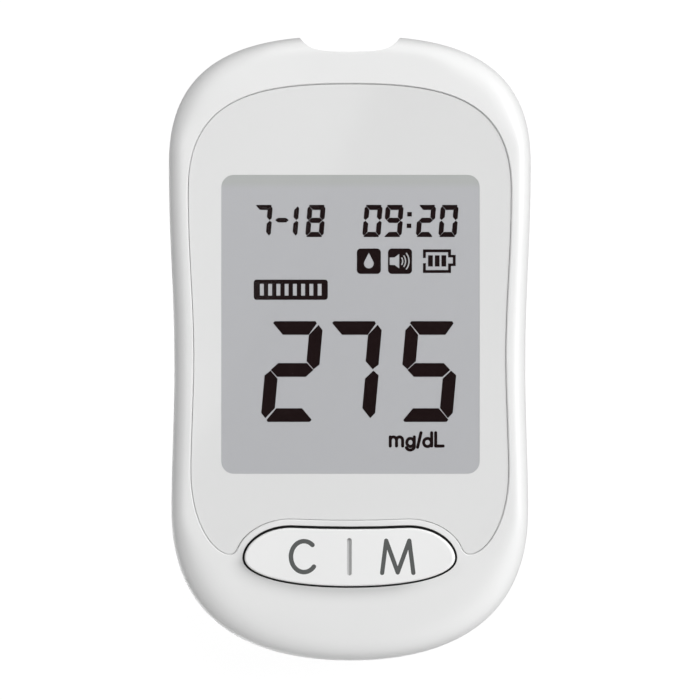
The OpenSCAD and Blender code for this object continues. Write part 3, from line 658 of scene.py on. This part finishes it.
def edge_reach(x, y):
    """Reach of the front edge's rounding: wider round the lower end and at the upper corners."""
    corner = smooth(31, 38, y) * smooth(12, 20, abs(x))
    return FRONT_EDGE + LOW_REACH * smooth(-25, -37, y) + CORNER_REACH * corner


REACH = [edge_reach(x, y) for x, y in CASE]


def front_levels(n=20):
    low = BODY_H - FRONT_EDGE_H
    levels = [(0.14, SPLIT_Z + 0.02), (0.0, SPLIT_Z + 0.16), (0.0, low)]
    for a in quarter(n):
        share = max(0.0, cos(radians(a))) ** (2 / FRONT_FULLNESS)
        rise = sin(radians(a)) ** (2 / FRONT_FULLNESS)
        levels.append(([r * (1 - share) for r in REACH], low + FRONT_EDGE_H * rise))
    return levels


def front_core_levels(n=8):
    low = BODY_H - FRONT_EDGE_H
    levels = [(WALL, SPLIT_Z - 1), (WALL, low)]
    for a in quarter(n):
        levels.append((WALL + FRONT_EDGE * (1 - cos(radians(a))), low + (WEB_Z - low) * sin(radians(a))))
    return levels


def flared(line, d, z0, z1, r, n=6, step=None):
    """A cutter over an outline, moved outward by d, whose upper end opens in a round flare of radius r.

    A step is a (distance outward, height) below which the cutter is narrower.
    """
    levels = [(-d, z0), (-d, z1 - r)]
    if step:
        levels = [(-step[0], z0), (-step[0], step[1]), (-d, step[1] + 0.01), (-d, z1 - r)]
    for a in quarter(n):
        levels.append((-d - r * (1 - cos(radians(a))), z1 - r + r * sin(radians(a))))
    levels.append((-d - r, z1 + 3))
    return loft("cutter", line, levels)


def edge_height(x, y):
    """Height of the front face over a point, down the rounded edge."""
    inside, reach = min((hypot(x - cx, y - cy), reach) for (cx, cy), reach in zip(CASE, REACH))
    if inside >= reach:
        return BODY_H
    share = (1 - inside / reach) ** FRONT_FULLNESS
    return BODY_H - FRONT_EDGE_H * (1 - (1 - share) ** (1 / FRONT_FULLNESS))


def notch_cutter(r=0.06, n=3):
    line = notch_outline()
    heights = [edge_height(x, y) for x, y in line]
    loops = [[(x, y, -1) for x, y in line], [(x, y, h - r) for (x, y), h in zip(line, heights)]]
    for a in quarter(n):
        out = grown(line, r * (1 - cos(radians(a))))
        loops.append([(x, y, h - r + r * sin(radians(a))) for (x, y), h in zip(out, heights)])
    loops.append([(x, y, BODY_H + 2) for x, y in grown(line, r)])
    return rings("cutter", loops)


def notch_wall(z0, z1):
    back = BODY_L / 2 - NOTCH_D - WALL
    return block(NOTCH_W + 4.2, BODY_L, z1 - z0, 0, back + BODY_L / 2, z0)


def front_cover():
    shell = loft("front_shell", CASE, front_levels())
    core = cut(loft("core", CASE, front_core_levels()), notch_wall(SPLIT_Z - 2, BODY_H))
    cut(shell, core)
    lug_z = PIVOT_Z - TRUNNION_R - 0.5
    for y in (KEY_Y + KEY_UP - 0.2 + FLANGE_W + 1.0, KEY_Y - KEY_DOWN - FLANGE_W - 1.0):
        lug = cut(block(3.6, 1.4, WEB_Z + 0.01 - lug_z, 0, y, lug_z),
                  rod_y(TRUNNION_R + 0.05, y - 2, y + 2, 0, PIVOT_Z),
                  block(1.12, 2.8, 1.5, 0, y, PIVOT_Z - 1.6))
        fuse(shell, lug)
    fuse(shell, *both_x(lambda x, y: rod(2.3, 9.05, WEB_Z + 0.3, x, y), CASE_SCREWS),
         *both_x(lambda x, y: rod(1.8, BOARD_TOP, WEB_Z + 0.3, x, y), BOARD_SCREWS))
    cut(shell, flared(LENS, SEEN_LENS_GAP / 2, BED_Z, BODY_H, 0.1, step=(-0.02, CLEAR_LOW - 0.1)),
        prism(rounded(WINDOW_W + 1.6, WINDOW_L + 1.6, 2.5, 0, WINDOW_Y), WEB_Z - 1, WEB_Z + 2),
        flared(KEY_HOLE, 0, PIVOT_Z - 1, BODY_H, 0.12),
        notch_cutter(),
        block(SLOT_W, 2 * WALL + 2, SLOT_H + 1, 0, BODY_L / 2 - NOTCH_D - WALL / 2, SPLIT_Z - 1),
        *both_x(lambda x, y: rod(1.02, 3, 12.6, x, y), CASE_SCREWS),
        *both_x(lambda x, y: rod(0.72, 13, 17.8, x, y), BOARD_SCREWS))
    return finished(shell, "case", "white_shell", LOOKS["white_shell"], "front_cover")


# ---- Rear cover and door --------------------------------------------------------------------

def back_levels(top, n=14, chamfer=0.14):
    levels = [(BACK_EDGE, 0.0)]
    for a in quarter(n):
        levels.append((BACK_EDGE * (1 - sin(radians(a))), BACK_EDGE_H * (1 - cos(radians(a)))))
    return levels + [(0.0, top - chamfer - 0.02), (chamfer, top - 0.02)]


def back_core_levels(top, n=8):
    levels = [(WALL + BACK_EDGE, WALL)]
    for a in quarter(n):
        height = WALL + (BACK_EDGE_H - WALL) * (1 - cos(radians(a)))
        levels.append((WALL + BACK_EDGE * (1 - sin(radians(a))), height))
    return levels + [(WALL, top)]


def door_path():
    reach = BODY_L / 2 + 4
    long = DOOR_HIGH + DOOR_GAP + reach
    mid = (DOOR_HIGH + DOOR_GAP - reach) / 2
    tongue_low = DOOR_T - TONGUE_T - 0.15
    return [block(2 * (DOOR_HALF + DOOR_GAP), long, DOOR_T + 1.15, 0, mid, -1),
            block(2 * (DOOR_HALF + TONGUE_W + DOOR_GAP), long, TONGUE_T + 0.3, 0, mid, tongue_low)]


def inside_case(obj):
    combine(obj, loft("case", CASE, back_levels(SPLIT_Z)), "INTERSECT")
    return obj


def rear_cover():
    shell = loft("rear_shell", CASE, back_levels(SPLIT_Z))
    core = cut(loft("core", CASE, back_core_levels(SPLIT_Z + 1)), notch_wall(-1, BODY_H))
    cut(shell, core)
    rail_half, rail_top = DOOR_HALF + TONGUE_W + DOOR_GAP + 1.4, DOOR_T + 1.55
    rail_high = DOOR_HIGH + 1.6
    fuse(shell, inside_case(block(2 * rail_half, rail_high + BODY_L / 2 + 2, rail_top, 0,
                                  (rail_high - BODY_L / 2 - 2) / 2, 0.0)))
    for boss in both_x(lambda x, y: rod(3.1, 0.0, 9.0, x, y), CASE_SCREWS):
        fuse(shell, inside_case(boss))
    bay_l = BAY_HIGH - BAY_LOW
    bay_mid = (BAY_HIGH + BAY_LOW) / 2
    fuse(shell, block(2 * (BAY_HALF + BAY_WALL), bay_l + 2 * BAY_WALL, BAY_TOP + 1 - WALL, 0, bay_mid, WALL))
    apart, recess = 2.4, rounded(26, 15, 1.5, 7, 25.1)
    cut(shell, block(2 * BAY_HALF, bay_l, BAY_TOP + 1, 0, bay_mid, -1), *door_path(),
        *[block(3.4, 0.6, 4, s * CELL_X, BAY_HIGH - 0.3, BAY_TOP - 1) for s in (-1, 1)],
        *both_x(lambda x, y: rod(2.15, -1, CASE_SEAT, x, y), CASE_SCREWS),
        *both_x(lambda x, y: rod(1.15, 0, 10, x, y), CASE_SCREWS),
        *[rod(0.6, -1, 3.8, SOUND_X + dx, SOUND_Y + dy, 24)
          for dx, dy in ((0, 0), (apart, 0), (-apart, 0), (0, apart), (0, -apart))],
        prism(recess, -1, 0.2),
        notch_cutter())
    return finished(shell, "case", "white_shell", LOOKS["white_shell"], "rear_cover")


def battery_door():
    door = inside_case(block(2 * DOOR_HALF, DOOR_HIGH + BODY_L / 2 + 2, DOOR_T, 0,
                             (DOOR_HIGH - BODY_L / 2 - 2) / 2, 0.0))
    fuse(door, *[block(2 * (DOOR_HALF + TONGUE_W), 8, TONGUE_T, 0, y, DOOR_T - TONGUE_T)
                 for y in (DOOR_HIGH - 5, -14, -34)])
    grip = rounded(15, 6, 2.95, 0, 4.5)
    cut(door, loft("cutter", grip, [(-0.25, -0.5), (0, 0.15), (0, 0.35), (0.15, 0.5)]))
    for i in range(-2, 3):
        x = i * 2.2
        ridge = [(x - 0.5, 0.9), (x - 0.5, 0.5), (x - 0.42, 0.2), (x - 0.2, 0.06),
                 (x + 0.2, 0.06), (x + 0.42, 0.2), (x + 0.5, 0.5), (x + 0.5, 0.9)]
        fuse(door, rings("ridge", [[(px, y, pz) for px, pz in ridge] for y in (6.2, 2.8)]))
    return finished(door, "door", "white_shell", LOOKS["white_shell"], "battery_door")


# ---- Lens, its print and the key ------------------------------------------------------------

def display_lens(edge=0.07):
    gap = SEEN_LENS_GAP / 2
    levels = [(gap, CLEAR_LOW), (gap, BODY_H - edge)]
    for a in quarter(4):
        levels.append((gap + edge * (1 - cos(radians(a))), BODY_H - edge + edge * sin(radians(a))))
    lens = loft("clear_lens", LENS, levels)
    return finished(lens, "case", "clear_lens", LOOKS["clear_lens"], "display_lens")


def lens_print():
    layer = prism(grown(LENS, -SEEN_LENS_GAP / 2 - 0.01), 20.03, PRINT_Z, "lens_print")
    cut(layer, prism(rounded(*SEEN_WINDOW), 19, 21))
    return finished(layer, "case", "clear_lens", LOOKS["print"])


def display_face():
    """The clear bond between the display and the lens, with the display's picture at its top."""
    face = prism(grown(rounded(*SEEN_WINDOW), -0.01), POLARISER_Z + 0.01, DISPLAY_Z)
    face.name = "display_face"
    return finished(face, "case", "polariser", LOOKS["polariser"])


LEFT_W, RIGHT_W = 0.7, 0.66          # widths of the strokes of the left and the right mark
LEFT_MARK = stroke(oval(-7.06, -31.92, 2.0, 2.38, 49, 320, 40), LEFT_W)
RIGHT_LOW, RIGHT_HIGH = -34.43, -29.46
RIGHT_POINTS = ((4.97, RIGHT_LOW), (5.6, RIGHT_HIGH), (7.37, RIGHT_LOW + 0.08), (9.15, RIGHT_HIGH),
                (9.78, RIGHT_LOW))
MARKS = [LEFT_MARK] + [stroke([a, b], RIGHT_W) for a, b in zip(RIGHT_POINTS, RIGHT_POINTS[1:])]


def key_marks():
    """The legends, filled in just below the key's face."""
    marks = fuse(*[prism(line, FACE_Z - 0.14, FACE_Z - 0.03) for line in MARKS])
    marks.name = "key_marks"
    return finished(marks, "key", "key_plastic", LOOKS["mark"])


def key_cap(left_edge=0.26):
    """The key is a hollow cap on a flange. Its edge is rounded less on the left than on the right."""
    reach = [left_edge + (KEY_EDGE - left_edge) * max(0.0, nx) for nx, _ in normals(KEY)]
    levels = [(KEY_GAP / 2, PIVOT_Z), (KEY_GAP / 2, FACE_Z - KEY_EDGE)]
    for a in quarter(8):
        moved = [KEY_GAP / 2 + r * (1 - cos(radians(a))) for r in reach]
        levels.append((moved, FACE_Z - KEY_EDGE * (1 - sin(radians(a)))))
    cap = loft("key", KEY, levels)
    groove = rounded(GROOVE_W, GROOVE_L, GROOVE_W / 2 - 0.01, GROOVE_X, GROOVE_MID)
    fuse(cap, prism(grown(KEY, FLANGE_W), PIVOT_Z - FLANGE_T / 2, PIVOT_Z + FLANGE_T / 2))
    cut(cap, prism(grown(KEY, -1.4), PIVOT_Z - FLANGE_T, FACE_Z - 1.3),
        flared(groove, 0, FACE_Z - GROOVE_D, FACE_Z, 0.05),
        *[prism(line, FACE_Z - 0.1, FACE_Z + 1) for line in MARKS])
    fuse(cap, *[rod(PLUNGER_R, DOME_Z + 0.05, FACE_Z - 1.25, s * PLUNGER_X, KEY_Y) for s in (-1, 1)])
    high, low = KEY_Y + KEY_UP - 0.2 + FLANGE_W, KEY_Y - KEY_DOWN - FLANGE_W
    for y0, y1 in ((high - 2.3, high + 1.6), (low - 1.6, low + 2.3)):
        fuse(cap, rod_y(TRUNNION_R, y0, y1, 0, PIVOT_Z))
    return finished(cap, "key", "key_plastic", LOOKS["key_plastic"], "key_cap")


front_cover()
rear_cover()
battery_door()
display_lens()
lens_print()
display_face()
key_cap()
key_marks()


# ---- What the display shows -------------------------------------------------------------------

LIT = {"0": "abcdef", "1": "bc", "2": "abged", "5": "afgcd", "7": "abc", "8": "abcdefg", "9": "abcdfg"}


def segments(w, h, t, ends):
    """Outlines of the seven segments of a digit w wide and h high, by their usual letters.

    A segment is t thick. The ends say how far the top and the bottom one stop short of both sides.
    """
    mid = h / 2 + 0.12 * t

    def end(y, s, left, right):
        return [(left * t, y), (w - right * t, y), (w - (right - 0.12) * t, y + s * 0.17 * t),
                (w - 1.02 * t, y + s * 1.03 * t), (1.1 * t, y + s * 1.03 * t),
                ((left - 0.12) * t, y + s * 0.14 * t)]

    def side(y, s):
        return [(w - 0.34 * t, y + s * 0.28 * t), (w, y + s * 0.68 * t), (w, mid - s * 0.4 * t),
                (w - 0.42 * t, mid - s * 0.05 * t), (w - t, mid - s * 0.66 * t), (w - t, y + s * 1.04 * t)]

    def other(line):
        return [(w - x, y) for x, y in line]

    middle = [(0.42 * t, mid), (0.95 * t, mid - 0.52 * t), (w - 0.95 * t, mid - 0.52 * t),
              (w - 0.42 * t, mid), (w - 0.95 * t, mid + 0.52 * t), (0.95 * t, mid + 0.52 * t)]
    return {"a": end(h, -1, *ends[0]), "b": side(h, -1), "c": [(x + 0.07 * t, y) for x, y in side(0, 1)],
            "d": end(0, 1, *ends[1]), "e": other(side(0, 1)), "f": other(side(h, -1)), "g": middle}


def digits(base, w, h, t, lean, ends, values):
    """Outlines of the lit segments of a row of digits, each given with its left end."""
    shapes = segments(w, h, t, ends)
    return [anticlockwise([(x + u + lean * v, base + v) for u, v in shapes[letter]])
            for value, x in values for letter in LIT[value]]


def box(x0, x1, y0, y1):
    return [(x0, y0), (x1, y0), (x1, y1), (x0, y1)]


def shown(line):
    return prism(line, DISPLAY_Z - 0.01, DISPLAY_Z + 0.015, "shown")


def opened(line):
    return prism(line, DISPLAY_Z - 1, DISPLAY_Z + 1)


def badge(x, y, w, l, r, *icons):
    """A dark badge with a pale icon left open in it. The icon's outlines are about the badge's middle."""
    return cut(shown(rounded(w, l, r, x, y)), *[opened([(x + u, y + v) for u, v in icon]) for icon in icons])


def drop_icon():
    return [[(0, 1.3)] + arc(0, -0.35, 0.75, 153, 387, 24)]


def speaker_icon():
    horn = [(-1.59, -0.57), (-0.83, -0.59), (-0.12, -1.12), (-0.12, 1.12), (-0.83, 0.59), (-1.59, 0.57)]
    waves = [stroke(arc(-0.61, 0, r, -half, half, 12), 0.2)
             for r, half in ((1.02, 29), (1.46, 34), (2.0, 37))]
    return [horn] + waves


def level_icon(count=8, pitch=1.27):
    return [[(x + u, v) for u, v in box(-0.3, 0.3, -0.9, 0.9)]
            for x in ((i - (count - 1) / 2) * pitch for i in range(count))]


def battery_icon():
    """An outlined cell with three bars in it."""
    left, right, low, high = 11.26, 15.58, 11.74, 15.37
    tip, tip_mid, tip_half = 16.3, 13.66, 0.46
    line, bar_w = 0.45, 0.73
    case = fuse(shown(box(left, right, low, high)), shown(box(right - 0.28, tip, 12.81, 14.52)))
    cut(case, opened(box(left + line, right - line, low + line, high - line)),
        opened(box(15.0, tip - line, tip_mid - tip_half, tip_mid + tip_half)),
        opened(box(11.0, 12.0, 13.25, 14.04)))
    return [case] + [shown(box(x, x + bar_w, 12.73, 14.46)) for x in (12.05, 13.09, 14.11)]


def ring_mark(x, y, rx, ry, w):
    outer, inner = [oval(x, y, rx + d, ry + d, 0, 350, 35) for d in (w / 2, -w / 2)]
    return cut(shown(outer), opened(inner))


def unit_mark(x, y, w=0.48):
    """The unit of measure, in plain strokes from its left end on the base line."""
    lines = [[(0.2, 0.0), (0.2, 1.4)], oval(0.68, 0.9, 0.48, 0.5, 180, 0, 14) + [(1.16, 0.0)],
             oval(1.63, 0.9, 0.47, 0.5, 180, 0, 14) + [(2.1, 0.0)],
             [(3.9, 1.4)] + oval(3.27, -0.06, 0.63, 0.55, 0, -160, 14), [(4.93, 2.05), (4.4, -0.2)],
             [(6.57, 0.0), (6.57, 2.05)], [(7.19, 2.05), (7.19, 0.0)], [(7.19, 0.0), (8.35, 0.0)]]
    strokes = [shown(stroke([(x + u, y + v + w / 2) for u, v in line], w)) for line in lines]
    return strokes + [ring_mark(x + u, y + 0.79, rx, 0.62, w) for u, rx in ((3.3, 0.55), (5.94, 0.6))]


# A row of digits is its base line, a digit's width, height, thickness, lean and ends, and the digits.
READOUT = (-11.19, 8.3, 15.51, 2.04, 0.09, ((0.4, 0.6), (0.56, 0.34)),
           (("2", -13.76), ("7", -4.66), ("5", 7.29)))
DATE_AND_TIME = (17.27, 2.76, 4.95, 0.76, 0.085, ((0.36, 0.36), (0.36, 0.36)),
                 (("7", -15.02), ("1", -10.92), ("8", -6.88), ("0", 1.9), ("9", 5.14), ("2", 10.13),
                  ("0", 13.6)))
DASH = ((-11.5, 19.87), (-11.05, 19.52), (-9.83, 19.52), (-9.38, 19.87), (-9.83, 20.22), (-11.05, 20.22))
COLON = (box(8.84, 9.55, 20.44, 21.12), box(8.76, 9.47, 18.66, 19.34))
BADGE_Y, BADGE_SIZE = 13.55, (3.69, 3.91, 0.6)


def display_marks():
    outlines = digits(*READOUT) + digits(*DATE_AND_TIME) + [DASH, *COLON]
    pieces = [shown(line) for line in outlines] + battery_icon() + unit_mark(6.03, -15.14)
    pieces += [badge(2.93, BADGE_Y, *BADGE_SIZE, *drop_icon()),
               badge(7.73, BADGE_Y, *BADGE_SIZE, *speaker_icon()),
               badge(-9.09, 9.16, 11.4, 3.11, 0.45, *level_icon())]
    marks = fuse(*pieces)
    marks.name = "display_marks"
    return finished(marks, "case", "polariser", LOOKS["segment"])


display_marks()


# ---- Cells, springs and screws -----------------------------------------------------------------

def cell_look(name, low, way):
    """A printed sleeve with a plain silver band at its positive end, and a bare can at both ends."""
    made, tree, main = shader(name, rough=0.25, coat=0.3)
    along = spread(tree, axes(tree)["Y"], low, low + way * CELL_L)
    steel, blue, silver = (0.62, 0.62, 0.61), (0.035, 0.12, 0.30), (0.5, 0.51, 0.53)
    bottom, band, stripe, top, end = 0.008, 0.76, 0.775, 0.79, 0.974       # shares of the cell's length
    bands = {"Base Color": [(0.0, steel), (bottom, blue), (band, silver), (stripe, blue), (top, silver),
                            (end, steel)],
             "Metallic": [(0.0, even(1)), (bottom, even(0)), (end, even(1))]}
    for socket, stops in bands.items():
        made_ramp = ramp(tree, along, stops)
        made_ramp.node.color_ramp.interpolation = "CONSTANT"
        tree.links.new(made_ramp, main.inputs[socket])
    scuffs = noise(tree, 700, 5, 0.6)
    tree.links.new(ramp(tree, scuffs, [(0.35, even(0.2)), (0.7, even(0.34))]), main.inputs["Roughness"])
    bump(tree, main, scuffs, 0.000004)
    return made


def cell(node, x, low, way):
    """An AAA cell from its flat end at low, one way or the other along Y."""
    r, top = CELL_D / 2, CELL_L - 0.8
    foot = [(3.2, 0.12), (3.4, 0.0), (r - 0.6, 0.0), (r - 0.25, 0.1), (r - 0.06, 0.3), (r, 0.55)]
    shoulder = [(r, top - 0.8), (r - 0.08, top - 0.4), (r - 0.3, top - 0.08), (r - 0.6, top), (r - 1.0, top)]
    nub = [(r - 1.15, top - 0.15), (2.5, top - 0.15), (2.1, top - 0.05), (1.9, top + 0.2),
           (1.9, CELL_L - 0.2), (1.84, CELL_L - 0.06), (1.7, CELL_L)]
    profile = foot + shoulder + nub
    made = turned(node + "_can", [(rad, way * h) for rad, h in profile], (x, low, CELL_Z), "Y", 64)
    return finished(made, "case", "cell_sleeve", cell_look(node, low, way), node, angle=50)


def spring_route(x, low, way, turns=3, wire=0.6, length=4.2, big=3.6, small=2.5, steps=30):
    """The wire's middle along a coil that narrows towards the cell."""
    last = turns * steps
    route = []
    for k in range(last + 1):
        r = big + (small - big) * k / last
        a = radians(360 * k / steps)
        y = low + way * (wire + (length - 2 * wire) * k / last)
        route.append((x + r * cos(a), y, CELL_Z + r * sin(a)))
    (ax, ay, az), (bx, by, bz) = route[0], route[-1]
    return [(ax, ay - way * wire, az)] + route + [(bx, by + way * wire, bz)]


PLATE_T, FIT, DIMPLE_H = 0.3, 0.05, 0.5
SPRING_ENDS = ((-CELL_X, BAY_LOW + PLATE_T + FIT, 1), (CELL_X, BAY_HIGH - PLATE_T - FIT, -1))


def springs():
    coils = [tube("battery_coils", spring_route(*place), 0.3) for place in SPRING_ENDS]
    return finished(fuse(*coils), "case", "spring_steel", LOOKS["spring_steel"], "battery_springs", angle=60)


def screws(node, places, seat, r, length, head_r, head_h):
    """Cross head screws driven upward, with domed heads and plain shanks."""
    made = []
    for x, y in both_x(lambda x, y: (x, y), places):
        head = [(head_r * 0.55, -head_h), (head_r * 0.8, -head_h * 0.93), (head_r * 0.95, -head_h * 0.72),
                (head_r, -head_h * 0.45), (head_r, 0.0), (r * 0.86, 0.0)]
        shank = [(r * 0.86, length - r), (r * 0.25, length)]
        body = turned(node + "_turned", head + shank, (x, y, seat), n=32)
        arm, deep, top = head_r * 1.15, head_h * 0.6, seat - head_h
        cut(body, *[prism(stroke([(x - a, y - b), (x + a, y + b)], head_r * 0.26), top - 1, top + deep)
                    for a, b in ((arm / 2, 0), (0, arm / 2))])
        made.append(body)
    return finished(fuse(*made), "case", "screw_steel", LOOKS["screw_steel"], node, angle=40)


cell("battery_left", -CELL_X, BAY_HIGH - PLATE_T - DIMPLE_H - FIT - CELL_L, 1)
cell("battery_right", CELL_X, BAY_LOW + PLATE_T + DIMPLE_H + FIT + CELL_L, -1)
springs()
screws("case_screws", CASE_SCREWS, CASE_SEAT, 1.0, 7.8, 1.9, 1.4)
screws("board_screws", BOARD_SCREWS, BOARD_LOW, 0.7, 3.2, 1.5, 0.8)


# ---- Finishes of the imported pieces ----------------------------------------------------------

FINISH = {
    "lens_tape": "black_tape", "key_mat": "silicone", "carbon_pills": "carbon_rubber",
    "front_polariser": "polariser", "lcd_glass": "display_glass", "rear_reflector": "reflector",
    "lcd_holder": "holder_plastic", "elastic_connector": "carbon_rubber", "main_board": "board_green",
    "microcontroller": "chip_black", "chip_parts": "chip_ceramic", "quartz_crystal": "plated_steel",
    "radio_module": "board_green", "radio_shield": "plated_steel", "buzzer": "chip_black",
    "strip_port": "port_plastic", "strip_contacts": "gold_contact", "positive_plate": "plated_steel",
    "negative_plate": "plated_steel", "bridge_plate": "plated_steel",
}
for name, look in FINISH.items():
    obj = frame["nodes"][name]
    obj.data.materials.clear()
    obj.data.materials.append(LOOKS[look])


# ---- Camera, light and floor ----------------------------------------------------------------

PICTURE, PIXEL = 700, 0.15422        # pixels across the picture, and millimetres across a pixel
CAMERA_Z, SCALE_Z = 2.5, 0.016       # heights in metres of the camera, and where the pixel is that wide
SENSOR = 36
camera = bpy.data.objects.new("camera", bpy.data.cameras.new("camera"))
bpy.context.scene.collection.objects.link(camera)
camera.location = (0.03 * MM, -0.12 * MM, CAMERA_Z)
camera.data.sensor_width = SENSOR
camera.data.lens = SENSOR * (CAMERA_Z - SCALE_Z) / (PICTURE * PIXEL * MM)
camera.data.clip_end = 10
bpy.context.scene.camera = camera


def lamp(name, place, aim, size, power):
    made = bpy.data.objects.new(name, bpy.data.lights.new(name, "AREA"))
    made.data.shape = "RECTANGLE"
    made.data.size, made.data.size_y = size
    made.data.energy = power
    made.location = place
    made.rotation_euler = (Vector(aim) - Vector(place)).to_track_quat("-Z", "Y").to_euler()
    made.visible_camera = False
    bpy.context.scene.collection.objects.link(made)
    return made


AMBIENT, SQUARE = 0.32, (0.5, 0.5)
lamp("key_light", (0.8, 0.25, 0.5), (0, 0, 0), SQUARE, 6.1)
for name, place, power in (("top_light", (0.0, 0.45, 0.75), 2.1), ("left_light", (-0.45, 0.2, 0.8), 1.45)):
    lamp(name, place, (0, 0, 0), SQUARE, power).visible_glossy = False
lamp("end_light", (0.26, -0.7, 0.04), (0, 0, 0.01), (0.5, 0.1), 1.65).visible_glossy = False
lamp("low_light", (-0.2, -0.2, -0.9), (0, 0, 0), SQUARE, 6)


def world():
    """White for the camera, mirrors and glass, and a softer even light for everything else."""
    made = bpy.data.worlds.new("studio")
    bpy.context.scene.world = made
    made.use_nodes = True
    tree = made.node_tree
    ambient = tree.nodes["Background"]
    ambient.inputs["Color"].default_value = (1, 1, 1, 1)
    ambient.inputs["Strength"].default_value = AMBIENT
    white = shader_node(tree, "ShaderNodeBackground", Color=(1, 1, 1, 1), Strength=1.0)
    path = tree.nodes.new("ShaderNodeLightPath")
    rays = [path.outputs[f"Is {kind} Ray"] for kind in ("Camera", "Glossy", "Transmission")]
    seen = fold(tree, "MAXIMUM", *rays)
    surface = mix(tree, seen, ambient.outputs["Background"], white.outputs["Background"])
    tree.links.new(surface, tree.nodes["World Output"].inputs["Surface"])


def floor():
    """White from above with a faint shadow, and clear from below."""
    side, height = 9000, -0.05
    corners = [(x, y, height) for x, y in box(-side, side, -side, side)]
    made = solid("floor", corners, [(0, 1, 2, 3)])
    look = bpy.data.materials.new("floor")
    look.use_nodes = True
    tree = look.node_tree
    plain = tree.nodes["Principled BSDF"]
    plain.inputs["Base Color"].default_value = (0.35, 0.35, 0.35, 1)
    plain.inputs["Roughness"].default_value = 0.9
    glow = shader_node(tree, "ShaderNodeEmission", Strength=0.93)
    shade = shader_node(tree, "ShaderNodeBsdfDiffuse", Color=(0.12, 0.12, 0.12, 1))
    both = tree.nodes.new("ShaderNodeAddShader")
    tree.links.new(glow.outputs["Emission"], both.inputs[0])
    tree.links.new(shade.outputs["BSDF"], both.inputs[1])
    path = tree.nodes.new("ShaderNodeLightPath")
    geometry = tree.nodes.new("ShaderNodeNewGeometry")
    clear = tree.nodes.new("ShaderNodeBsdfTransparent")
    lit = mix(tree, path.outputs["Is Camera Ray"], plain.outputs["BSDF"], both.outputs["Shader"])
    unseen = fold(tree, "MAXIMUM", path.outputs["Is Shadow Ray"], geometry.outputs["Backfacing"])
    surface = mix(tree, unseen, lit, clear.outputs["BSDF"])
    tree.links.new(surface, tree.nodes["Material Output"].inputs["Surface"])
    made.data.materials.append(look)


def flag(h=350):
    """A black card that only mirrors see. Its edge crosses the lens as the one in the photo does."""
    mirrored = 1 + h * MM / CAMERA_Z
    edge = [(12, 62), (3.4, 41), (-2.3, 26.9), (-11, 9), (-19.7, -9.4), (-24.5, -16), (-40, -33)]
    line = [(x * mirrored, y * mirrored) for x, y in edge] + [(-40, -150), (250, -150), (250, 62)]
    made = solid("flag", [(x, y, h) for x, y in line], [tuple(range(len(line)))])
    look, _, main = shader("flag", rough=1.0, spec=0.0)
    main.inputs["Base Color"].default_value = (0, 0, 0, 1)
    made.data.materials.append(look)
    for kind in ("camera", "diffuse", "transmission", "volume_scatter", "shadow"):
        setattr(made, "visible_" + kind, False)


world()
floor()
flag()
bpy.context.scene.view_settings.view_transform = "Standard"
